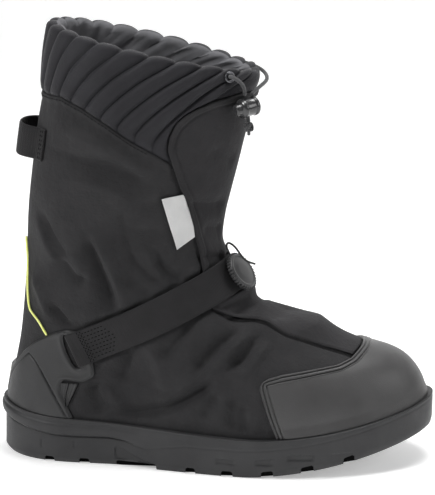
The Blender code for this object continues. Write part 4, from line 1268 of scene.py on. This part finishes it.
cap_low = edge_level(cap_around, cap_columns, 0.2, 4.0, lambda x: lip_height(x) + 2.0 * GAP)
cap_high = edge_level(cap_around, cap_columns, 1.5, 6.0, lambda x: read_off(CAP_TOP, x))
cap_parts = np.concatenate([np.linspace(0.0, 0.84, 46), np.linspace(0.85, 1.0, 34)])
cap_level = cap_low + cap_parts[:, None] * (cap_high - cap_low)
cap_place = cap_around(np.broadcast_to(cap_columns, cap_level.shape), cap_level)
left, right_edge, bottom, top = edge_distances(surface(cap_level, cap_place))
rim = np.minimum(np.minimum(left, right_edge), top)
raised_rim = CAP_RIM_HEIGHT * (1.0 - ease((rim - 6.2) / 1.0))
grooves = sum(GROOVE_DEPTH * np.exp(-((rim - place) / 0.45) ** 2) for place in GROOVE_PLACES)
skirt = SKIRT_FLARE * (1.0 - ease(bottom / SKIRT_HEIGHT)) * ease(rim / 12.0)
edge_rounding = 0.35 + 0.65 * ease(rim / 1.1)
cap_height = GAP + CAP_THICK * edge_rounding + raised_rim * ease(rim / 0.8) - grooves + skirt
toe_cap = slab("toe_cap_moulding", skin(cap_level, cap_place, cap_height),
               skin(cap_level, cap_place, np.full(cap_level.shape, GAP)), [cap_rubber])
settle(toe_cap, "toe_cap_rubber", "toe_cap")

# %% [markdown]
# The heel counter is a rubber cup with a wing on each side. A panel behind is bounded by two pressed
# lines that meet in a point, and the strap comes out of a long slot. Its outline is too ragged for a
# plain grid, so a fine slab is made first, with the lines pressed into it and its edges rounded by
# distances in the side view. Exact Booleans then cut the outline and the slots. A small ribbed web is
# sewn into the notch under each wing.

# %% Heel counter
counter_rubber = rubber("heel_counter_rubber", (0.0158, 0.0158, 0.0167), (0.0222, 0.0222, 0.0231), 0.5)
COUNTER_THICK = 2.6
PANEL_GROOVE = 1.3
PANEL_LINES = [[(5.0, 36.0), (7.1, 43.3), (9.5, 54.0), (12.9, 63.4), (19.7, 73.9), (27.4, 82.4)],
               [(27.4, 82.4), (33.0, 77.0), (39.4, 67.8), (44.8, 58.8), (50.4, 48.9), (54.3, 41.7),
                (58.8, 33.5)]]
# corners of the strap's slot: along the strap, across it
SLOT = [(2.1, -14.6), (2.1, 14.6), (-0.6, 13.6), (-2.4, 9.0), (-3.4, 1.0), (-3.2, -7.0), (-1.6, -13.0)]


def corner_arc(before, here, after, radius, share, steps):
    """Points that round a corner, within this share of either of its sides."""
    here = np.array(here, float)
    one = np.array(before, float) - here
    two = np.array(after, float) - here
    reach = min(radius, share * np.linalg.norm(one), share * np.linalg.norm(two))
    start = here + reach * one / np.linalg.norm(one)
    end = here + reach * two / np.linalg.norm(two)
    return [(1 - t) ** 2 * start + 2 * t * (1 - t) * here + t * t * end
            for t in np.linspace(0.0, 1.0, steps + 1)]


def rounded(outline, radius):
    """A closed outline with its corners rounded."""
    result = []
    for i, corner in enumerate(outline):
        result += corner_arc(outline[i - 1], corner, outline[(i + 1) % len(outline)], radius, 0.45, 4)
    return result


strap_run_way = (math.cos(STRAP_SLOPE), math.sin(STRAP_SLOPE))
slot_corners = [(SLOT_CENTRE[0] + a * strap_run_way[0] - b * strap_run_way[1],
                 SLOT_CENTRE[1] + a * strap_run_way[1] + b * strap_run_way[0]) for a, b in SLOT]
slot_outline = rounded(slot_corners, 1.9)
counter_outline = rounded(COUNTER, 3.0)
counter_around = np.linspace(-0.19, 0.19, 250)
counter_low = find_level(counter_around, lambda p: p[..., 2] - lip_height(p[..., 0]) - 2.0 * GAP, high=6.0)
counter_level = counter_low + np.linspace(0.0, 1.0, 120)[:, None] * (7.2 - counter_low)
counter_place = np.broadcast_to(counter_around, counter_level.shape)
point = surface(counter_level, counter_place)
side_x, side_z = point[..., 0], point[..., 2]
to_edge = -outline_distance(side_x, side_z, counter_outline)
to_slot = outline_distance(side_x, side_z, slot_outline)
pressed = np.zeros(side_x.shape)
for line in PANEL_LINES:
    to_line = line_distance(side_x, side_z, smooth_route(line, 5))[0]
    pressed = np.maximum(pressed, PANEL_GROOVE * np.exp(-(to_line / 0.5) ** 2))
rounding = 0.4 + 0.6 * ease(np.minimum(to_edge, 40.0) / 1.6)
slot_rim = 0.5 * np.exp(-((to_slot - 1.8) / 1.6) ** 2) - 0.8 * (1.0 - ease(to_slot / 1.2))
wing_bead = 0.35 * np.exp(-((to_edge - 2.2) / 1.5) ** 2) * ease((side_x - 24.0) / 20.0)
counter_height = GAP + COUNTER_THICK * rounding - pressed + slot_rim + wing_bead
counter = slab("heel_counter_moulding", skin(counter_level, counter_place, counter_height),
               skin(counter_level, counter_place, np.full(counter_level.shape, GAP)), [counter_rubber])
carve(counter, "INTERSECT", side_prism("counter_outline", counter_outline))
carve(counter, "DIFFERENCE", side_prism("strap_slots", slot_outline))
counter.data.set_sharp_from_angle(angle=math.radians(40.0))
settle(counter, "heel_counter_rubber", "heel_counter")

# %% Web in the notch of the counter
# height, distance from the heel
WEB_LEFT = [(43.9, 56.2), (46.2, 54.3), (55.2, 51.2), (63.2, 51.8)]
WEB_RIGHT = [(43.9, 57.4), (45.2, 58.0), (54.1, 62.4), (63.2, 66.4)]
WEB_HEIGHT = 19.3
t, s = np.meshgrid(np.linspace(0.0, 1.0, 30), np.linspace(0.0, 1.0, 41), indexing="ij")
web_z = WEB_LEFT[0][0] + WEB_HEIGHT * t
web_x = (1.0 - s) * read_off(WEB_LEFT, web_z) + s * read_off(WEB_RIGHT, web_z)
web_ribs = (0.6 + 0.5 * np.abs(np.sin(5.0 * math.pi * s))) * ease(s / 0.1) * ease((1.0 - s) / 0.1)
for side in ("outer", "inner"):
    web_level, web_around = on_side(web_x, web_z, side == "inner")
    web_height = relief(web_level, web_around)
    web = slab("counter_web_" + side, skin(web_level, web_around, web_height + 0.7 + web_ribs),
               skin(web_level, web_around, web_height + 0.2), [counter_rubber])
    settle(web, "heel_counter_rubber")

# %% [markdown]
# Webbing is a flat woven band. The strap rises out of one slot, lies over the instep and goes down into
# the other. A place function puts any point of the band on the shoe, square across from its middle line.
# The finger loop at the back is the same kind of band, with coarse ribs across it.


# %% Bands of webbing
def webbing(name, colour_dark, colour_light, rib_pitch, roughness=0.7):
    """Woven webbing with ribs across the band."""
    return cloth(name, colour_dark, colour_light, roughness, (rib_pitch, 1.6), 0.00012, 0.0003, 0.06)


def band(name, path, place, width, thick, finish, rib=0.0, rib_pitch=2.0):
    """A flat band along a path of (distance, height) rows."""
    path = np.asarray(path, float)
    tangent = np.gradient(path, axis=0)
    tangent /= np.linalg.norm(tangent, axis=1, keepdims=True)
    normal = np.stack([-tangent[:, 1], tangent[:, 0]], axis=1)
    run = run_along(path)
    shares = np.concatenate([[-0.5, -0.49], np.linspace(-0.46, 0.46, 16), [0.49, 0.5]])
    ribs = rib * np.abs(np.sin(math.pi * run / rib_pitch))
    ring, across_mm = [], []
    for side in (1.0, -1.0):
        for share in shares[::int(side)]:
            edge = 0.35 if abs(share) == 0.5 else (0.8 if abs(share) == 0.49 else 1.0)
            moved = path + (side * (0.5 * thick * edge + ribs * (edge == 1.0)))[:, None] * normal
            ring.append(place(moved[:, 0], np.full(len(path), share * width), moved[:, 1]))
            across_mm.append(share * width)
    grid = np.stack(ring, axis=1)
    rows, columns = grid.shape[:2]
    r, c = grid_corners(rows, columns, True)
    faces = (r * columns + c % columns).tolist()
    uv = np.stack([run[r], np.array(across_mm)[c % columns]], axis=-1).reshape(-1, 2).tolist()
    for row, order in ((0, range(columns - 1, -1, -1)), (rows - 1, range(columns))):
        faces.append([row * columns + k for k in order])
        uv += [(0.0, 0.0)] * columns
    return make_piece(name, grid.reshape(-1, 3), faces, uv, [finish])


STRAP_THICK = 1.8
# distance from the slot, height of the band's middle above the last
STRAP_RISE = [(1.0, 1.3), (1.0, 2.5), (1.8, 3.7), (3.6, 4.2), (10.5, 4.15), (13.5, 4.0), (18.0, 3.5),
              (24.0, 3.3)]


def strap_level(around, across):
    """The level at which the last meets the strap's tilted plane."""
    def beyond(p):
        run, rise = p[..., 0] - SLOT_CENTRE[0], p[..., 2] - SLOT_CENTRE[1]
        return rise * strap_run_way[0] - run * strap_run_way[1] - across
    return find_level(around, beyond)


strap_around = np.linspace(0.03, 0.97, 600)
strap_line = surface(strap_level(strap_around, 0.0), strap_around)
strap_run = run_along(strap_line)
past_slot = np.nonzero(strap_line[:, 0] > SLOT_CENTRE[0])[0]
strap_run -= strap_run[past_slot[0]]
strap_length = strap_run[past_slot[-1]]


def strap_place(run, across, height):
    """A point of the strap, square across from its middle line."""
    base = np.interp(run, strap_run, strap_around)
    centre = surface(strap_level(base, 0.0), base)
    ahead = surface(strap_level(base + 0.002, 0.0), base + 0.002) - centre

    def past(a):
        return np.sum((surface(strap_level(a, across), a) - centre) * ahead, axis=-1) > 0.0

    place = halve(base - 0.05, base + 0.05, past, 20)
    return skin(strap_level(place, across), place, height)


strap_webbing = webbing("strap_webbing", (0.011, 0.0105, 0.0113), (0.0175, 0.0168, 0.018), 1.2)
rows = np.array(STRAP_RISE + [(strap_length - run, height) for run, height in reversed(STRAP_RISE)])
travel = run_along(rows)
steps = np.concatenate([np.linspace(0.0, 30.0, 50), np.linspace(31.0, travel[-1] - 31.0, 190),
                        np.linspace(travel[-1] - 30.0, travel[-1], 50)])
strap_path = np.stack([np.interp(steps, travel, rows[:, k]) for k in range(2)], axis=1)
for _ in range(3):
    strap_path[1:-1] = 0.25 * strap_path[:-2] + 0.5 * strap_path[1:-1] + 0.25 * strap_path[2:]
strap = band("instep_strap_webbing", strap_path, strap_place, STRAP_WIDTH, STRAP_THICK, strap_webbing)
settle(strap, "strap_webbing", "instep_strap")
print("strap length in mm:", round(float(strap_length), 1))

# %% Finger loop
LOOP_HEIGHT = 246.0
LOOP_SCALE = 370.0  # millimetres once round the shaft, about
LOOP_WIDTH = 24.0
LOOP_THICK = 1.3
LOOP_RIB = 0.25
LOOP_RIB_PITCH = 2.2
# distance from the middle of the back, height off the shaft
LOOP_HALF = [(33.0, 1.4), (27.0, 1.4), (22.5, 2.6), (18.0, 6.8), (12.5, 11.0), (6.5, 12.8)]


def loop_place(run, across, height):
    """A point of the finger loop."""
    around = run / LOOP_SCALE
    return skin(find_level(around, lambda p: p[..., 2] - LOOP_HEIGHT - across), around, height)


loop_rows = [(-run, height) for run, height in LOOP_HALF] + [(0.0, 13.2)] + LOOP_HALF[::-1]
loop_path = smooth_route(loop_rows, 14)
loop_webbing = webbing("pull_loop_webbing", (0.007, 0.0066, 0.0072), (0.013, 0.0124, 0.0133), LOOP_RIB_PITCH)
finger_loop = band("pull_loop_webbing", loop_path, loop_place, LOOP_WIDTH, LOOP_THICK, loop_webbing,
                   LOOP_RIB, LOOP_RIB_PITCH)
settle(finger_loop, "pull_loop_webbing", "pull_loop")

# %% [markdown]
# The lace dial is a turned knob with teeth round its rim. A small profile spun about the dial's axis
# gives the knob. The teeth repeat, so Geometry Nodes make them: a circle of points, one tooth on each,
# turned by its place in the circle. The tree's inputs are named, and the result becomes a plain mesh.


# %% Turned pieces
def turned(name, profile, finish, columns=72):
    """A closed turned mesh about the z axis, with its first and last rows on the axis."""
    points = [(0.0, 0.0, profile[0][1])]
    turns = 2.0 * math.pi * np.arange(columns) / columns
    for radius, height in profile[1:-1]:
        points += [(radius * math.cos(t), radius * math.sin(t), height) for t in turns]
    points.append((0.0, 0.0, profile[-1][1]))
    rows = len(profile) - 2
    r, c = grid_corners(rows, columns, True)
    faces = (1 + r * columns + c % columns).tolist()
    last = len(points) - 1
    top_ring = last - columns
    faces += [(0, 1 + (k + 1) % columns, 1 + k) for k in range(columns)]
    faces += [(last, top_ring + k, top_ring + (k + 1) % columns) for k in range(columns)]
    return make_piece(name, np.array(points) + (LENGTH / 2.0, 0.0, 0.0), faces, None, [finish])


def stand_on(piece, centre, axis):
    """Moves a mesh made about the z axis onto a centre and an axis, inside its own mesh."""
    turn_to = Vector(axis).to_track_quat("Z", "Y").to_matrix().to_4x4()
    turn_to.translation = Vector(in_metres([centre])[0])
    piece.data.transform(turn_to)
    return piece


def rounded_profile(profile, radius=0.5):
    """A turned profile with its corners rounded."""
    result = [profile[0]]
    for corner in zip(profile[:-2], profile[1:-1], profile[2:]):
        result += corner_arc(*corner, radius, 0.4, 2)
    return result + [profile[-1]]


def plastic(name, colour, roughness, coat=0.0):
    """Moulded plastic with faint handling marks."""
    made, tree, shader = new_finish(name, colour, roughness, coat=coat)
    place = cloudy(tree, shader, tuple(0.85 * v for v in colour), colour, 120.0)
    marks = wire(tree, "ShaderNodeTexNoise", Vector=place, Scale=900.0, Detail=3.0)
    tree.links.new(raised(tree, marks.outputs["Fac"], 0.00004), shader.inputs["Normal"])
    return made


print("turning helpers ready")


# %% A tree for things in a ring
def new_tree(name, inputs):
    """An empty Geometry Nodes tree, the identifiers of its named inputs, and its two ends."""
    tree = bpy.data.node_groups.new(name, "GeometryNodeTree")
    names = {}
    for label, kind in inputs:
        socket = tree.interface.new_socket(label, in_out="INPUT", socket_type="NodeSocket" + kind)
        names[label] = socket.identifier
    tree.interface.new_socket("Geometry", in_out="OUTPUT", socket_type="NodeSocketGeometry")
    return tree, names, tree.nodes.new("NodeGroupInput"), tree.nodes.new("NodeGroupOutput")


def one_on_each(tree, points, shape, turn, finish, end):
    """Puts one small shape on each point, makes them real and paints them."""
    small = wire(tree, "GeometryNodeObjectInfo", Object=shape)
    spread = wire(tree, "GeometryNodeInstanceOnPoints", Points=points, Instance=small.outputs["Geometry"],
                  Rotation=turn)
    real = wire(tree, "GeometryNodeRealizeInstances", Geometry=spread.outputs["Instances"])
    paint = wire(tree, "GeometryNodeSetMaterial", Geometry=real.outputs["Geometry"], Material=finish)
    tree.links.new(paint.outputs["Geometry"], end.inputs["Geometry"])


def ring_tree():
    """Geometry Nodes that put one small shape on each place of a circle."""
    tree, names, start, end = new_tree("teeth_in_a_ring", [("Tooth", "Object"), ("Count", "Int"),
                                                           ("Radius", "Float"), ("Finish", "Material")])
    given = start.outputs
    circle = wire(tree, "GeometryNodeMeshCircle", Vertices=given["Count"], Radius=given["Radius"])
    share = sums(tree, "DIVIDE", wire(tree, "GeometryNodeInputIndex").outputs[0], given["Count"])
    spin = wire(tree, "ShaderNodeCombineXYZ", Z=sums(tree, "MULTIPLY", share, 2.0 * math.pi))
    one_on_each(tree, circle.outputs["Mesh"], given["Tooth"], spin.outputs[0], given["Finish"], end)
    return tree, names


def grown(name, tree, names, values, mesh=None):
    """An object made by a tree, as a plain mesh."""
    piece = bpy.data.objects.new(name, mesh or bpy.data.meshes.new(name))
    bpy.context.scene.collection.objects.link(piece)
    modifier = piece.modifiers.new(name, "NODES")
    modifier.node_group = tree
    for label, value in values.items():
        modifier[names[label]] = value
    return plain_mesh(piece)


print("ring tree ready")

# %% Lace dial
knob_plastic = plastic("dial_knob_plastic", (0.029, 0.029, 0.03), 0.36)
base_plastic = plastic("dial_base_plastic", (0.018, 0.018, 0.02), 0.5)
DIAL_AROUND = 0.468
DIAL_ACROSS = -3.0
DIAL_LIFT = 0.8
dial_level = strap_level(np.array(DIAL_AROUND), np.array(DIAL_ACROSS))
dial_axis = facing(dial_level, DIAL_AROUND)
dial_seat = skin(dial_level, DIAL_AROUND, STRAP_RISE[-1][1] + 0.5 * STRAP_THICK + DIAL_LIFT)
# radius, height above the seat
KNOB = [(0.0, 1.9), (12.8, 1.9), (14.2, 2.7), (14.4, 5.3), (13.6, 6.3), (12.4, 6.6), (11.6, 6.2),
        (10.4, 6.3), (6.0, 6.8), (0.0, 7.0)]
TOOTH = [(0.0, -0.55), (0.45, -0.5), (0.62, -0.2), (0.62, 0.2), (0.45, 0.5), (0.0, 0.55)]
TOOTH_STRETCH = (2.0, 1.4, 3.3)
TEETH = 36
TEETH_RADIUS = 0.0146  # metres
TEETH_HEIGHT = 0.0041  # metres
knob = turned("dial_knob_turned", rounded_profile(KNOB, 0.6), knob_plastic)
tooth = turned("tooth", TOOTH, knob_plastic, 8)
tooth.data.transform(Matrix.Diagonal((*TOOTH_STRETCH, 1.0)))
tooth.data.transform(Matrix.Translation((0.0, 0.0, TEETH_HEIGHT)))
ring_nodes, ring_names = ring_tree()
teeth = grown("dial_teeth", ring_nodes, ring_names,
              {"Tooth": tooth, "Count": TEETH, "Radius": TEETH_RADIUS, "Finish": knob_plastic})
bpy.data.objects.remove(tooth, do_unlink=True)
for piece in (knob, teeth):
    stand_on(piece, dial_seat, dial_axis)
settle(knob, "dial_knob_plastic", "dial_knob")
settle(teeth, "dial_knob_plastic")
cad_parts["dial_base"].data.materials.clear()
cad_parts["dial_base"].data.materials.append(base_plastic)
print("dial at", np.round(dial_seat, 1))

# %% [markdown]
# The small fittings are turned too: a dark nickel eyelet on each side and a spring lock with a button.
# The real lock has a waist where the cord goes through, a rim at each end and a button on a spring.

# %% Eyelets and cord lock
nickel, nickel_nodes, nickel_shader = new_finish("eyelet_metal", (0.16, 0.16, 0.17), 0.32, metallic=1.0)
cloudy(nickel_nodes, nickel_shader, (0.10, 0.10, 0.11), (0.2, 0.2, 0.21), 500.0)
lock_plastic = plastic("cord_lock_plastic", (0.031, 0.031, 0.0325), 0.24, 0.3)
EYELET_RADIUS = 3.3
EYELET_ROLL = (1.0, 0.62)  # half width and half height of the rolled metal
turn = 2.0 * math.pi * np.arange(16)[:, None] / 16
spin = 2.0 * math.pi * np.arange(48) / 48
reach = EYELET_RADIUS + EYELET_ROLL[0] * np.cos(turn)
rise = EYELET_ROLL[1] + EYELET_ROLL[1] * np.sin(turn)
eyelet_grid = np.stack(np.broadcast_arrays(reach * np.cos(spin), reach * np.sin(spin), rise), axis=-1)
for side, (seat, axis) in eyelet_seats.items():
    eyelet = ring_sheet("eyelet_ring_" + side, eyelet_grid + (LENGTH / 2.0, 0.0, 0.0), [nickel])
    settle(stand_on(eyelet, seat, axis), "eyelet_metal", "eyelet_" + side)
# radius, place along the lock's axis
BARREL = [(0.0, -12.5), (3.2, -12.5), (4.3, -11.8), (4.4, -7.9), (5.8, -7.5), (7.2, -6.4), (7.4, -4.6),
          (6.7, -4.0), (6.7, 3.6), (7.4, 4.2), (7.3, 6.2), (6.0, 7.3), (3.4, 7.4), (3.0, 6.9), (0.0, 6.8)]
barrel = turned("cord_lock_barrel", rounded_profile(BARREL, 0.5), lock_plastic, 48)
settle(stand_on(barrel, LOCK_CENTRE, LOCK_AXIS), "cord_lock_plastic", "cord_lock")

# %% [markdown]
# The label is a bare strip of white woven cloth, folded and sewn into the flap's seam along one edge. It
# is a small grid between its four edges. The free edge lifts a little from the upper and casts a shadow.
# The bright piping in the back seams is a thin tube along a few places that are found on the last.

# %% Label
label_cloth = cloth("side_label_cloth", (0.56, 0.56, 0.56), (0.66, 0.66, 0.655), 0.75, (0.7, 0.7), 0.00006,
                    0.0004, 0.0)
LABEL_THICK = 0.5
# left and right corners in the side view, at the top and at the bottom
LABEL_TOP = np.array([(131.0, 211.0), (146.8, 213.0)])
LABEL_LOW = np.array([(141.0, 170.0), (153.8, 178.3)])
t, s = np.meshgrid(np.linspace(0.0, 1.0, 48), np.linspace(0.0, 1.0, 22), indexing="ij")
bow = 1.6 * np.sin(math.pi * t) * s
label_x, label_z = ((1 - t) * ((1 - s) * top[0] + s * top[1]) + t * ((1 - s) * low[0] + s * low[1])
                    for top, low in zip(LABEL_TOP.T, LABEL_LOW.T))
label_level, label_around = on_side(label_x + bow, label_z)
flutter = 0.25 * np.sin(3.0 * math.pi * t) * (1.0 - s)
lift = relief(label_level, label_around) * 0.6 + 1.1 + 1.0 * (1.0 - s) ** 2 + flutter
label = slab("side_label_strip", skin(label_level, label_around, lift + LABEL_THICK),
             skin(label_level, label_around, lift), [label_cloth])
settle(label, "side_label_cloth", "side_label")

# %% Piping
piping_tape, tape_nodes, tape_shader = new_finish("piping_tape", (0.80, 0.88, 0.20), 0.45)
cloudy(tape_nodes, tape_shader, (0.82, 0.88, 0.22), (0.94, 0.97, 0.36), 150.0)
PIPING_RADIUS = 0.9
# height, place around the shoe
PIPING = [(99.3, 0.1062), (105.0, 0.0985), (109.0, 0.0915), (113.0, 0.0797), (117.0, 0.0680),
          (125.0, 0.0608), (135.0, 0.0580), (146.0, 0.0564), (157.0, 0.0535), (165.0, 0.0465),
          (171.0, 0.0385)]
for side in ("outer", "inner"):
    route = []
    for z, a in PIPING:
        a = 1.0 - a if side == "inner" else a
        level = find_level(np.array(a), lambda p: p[..., 2] - z)
        route.append(skin(level, a, 1.5 + 0.7 * float(relief(level.reshape(1), np.array([a]))[0])))
    piping = tube("piping_tube_" + side, smooth_route(route, 8), PIPING_RADIUS, piping_tape, 12)
    settle(piping, "piping_tape", "piping_" + side)

# %% [markdown]
# Seams are sewn with short dark threads. They repeat hundreds of times, so Geometry Nodes place them: each
# seam is a line of plain edges, which becomes a curve with points at an even pitch, and one thread with
# two dozen faces lies on every point, turned along the seam.


# %% A tree for stitches
def stitch_tree():
    """Geometry Nodes that sew along the edges of a mesh."""
    tree, names, start, end = new_tree("stitches_along_lines", [("Lines", "Geometry"), ("Thread", "Object"),
                                                                ("Pitch", "Float"), ("Finish", "Material")])
    given = start.outputs
    line = wire(tree, "GeometryNodeMeshToCurve", Mesh=given["Lines"])
    even = wire(tree, "GeometryNodeResampleCurve", Curve=line.outputs["Curve"])
    even.mode = "LENGTH"
    tree.links.new(given["Pitch"], even.inputs["Length"])
    turn = wire(tree, "FunctionNodeAlignRotationToVector",
                Vector=wire(tree, "GeometryNodeInputTangent").outputs[0])
    turn.axis = "Z"
    one_on_each(tree, even.outputs["Curve"], given["Thread"], turn.outputs[0], given["Finish"], end)
    return tree, names


thread_finish, thread_nodes, thread_shader = new_finish("seam_thread", (0.004, 0.004, 0.0045), 0.9,
                                                        shine=0.05)
cloudy(thread_nodes, thread_shader, (0.003, 0.003, 0.0033), (0.006, 0.006, 0.0065), 400.0)
sewing, sewing_names = stitch_tree()


def sewn(name, lines, slot, length, pitch, radius):
    """Stitches along lines given in millimetres."""
    mesh = bpy.data.meshes.new(name)
    points, edges = [], []
    for line in lines:
        edges += [(len(points) + i, len(points) + i + 1) for i in range(len(line) - 1)]
        points += in_metres(line)
    mesh.from_pydata(points, edges, [])
    half = 0.5 * length
    profile = [(0.0, -half), (0.7 * radius, -0.8 * half), (radius, 0.0), (0.7 * radius, 0.8 * half),
               (0.0, half)]
    thread = turned("thread", profile, thread_finish, 6)
    piece = grown(name, sewing, sewing_names,
                  {"Thread": thread, "Pitch": pitch * MM, "Finish": thread_finish}, mesh)
    bpy.data.objects.remove(thread, do_unlink=True)
    return settle(piece, slot)


print("stitch inputs:", list(sewing_names))

# %% Seams
STITCH_DEPTH = 1.8  # below the cuff seam
hem_around = np.linspace(-0.275, 0.275, 260)
hem_level = find_level(hem_around, lambda p: STITCH_DEPTH - below_seam(p))
hem_line = skin(hem_level, hem_around, outer_offset(hem_level, np.mod(hem_around, 1.0)) + 0.12)
sewn("cuff_seam_stitches", [hem_line], "upper_fabric", 2.4, 3.2, 0.34)
strap_lines = []
for side in (0, 1):
    rows = [(np.linspace(13.0, 39.0 - 0.6 * abs(across), 40), np.full(40, across))
            for across in np.arange(-10.5, 10.6, 3.0)]
    rows += [(np.full(40, run), np.linspace(-12.0, 12.0, 40)) for run in (12.0, 14.6)]
    for run, across in rows:
        run = strap_length - run if side else run
        rise = np.interp(run, strap_path[:, 0], strap_path[:, 1]) + 0.5 * STRAP_THICK + 0.05
        strap_lines.append(strap_place(run, across, rise))
sewn("strap_end_stitches", strap_lines, "strap_webbing", 1.8, 2.8, 0.3)
web_lines = []
for side in (False, True):
    for share in (0.0, 0.5, 1.0):
        line_z = np.linspace(44.5, 62.8, 40)
        low_x, high_x = (read_off(edge, line_z) for edge in (WEB_LEFT, WEB_RIGHT))
        line_level, line_around = on_side(low_x + share * (high_x - low_x), line_z, side)
        lift = relief(line_level, line_around) + (1.9 if share == 0.5 else 1.0)
        web_lines.append(skin(line_level, line_around, lift))
sewn("counter_web_stitches", web_lines, "heel_counter_rubber", 2.2, 1.7, 0.36)
loop_lines = [loop_place(np.full(12, run), np.linspace(-10.0, 10.0, 12), np.full(12, 2.15))
              for run in (-30.5, -28.0, 28.0, 30.5)]
sewn("loop_end_stitches", loop_lines, "pull_loop_webbing", 2.0, 3.0, 0.4)
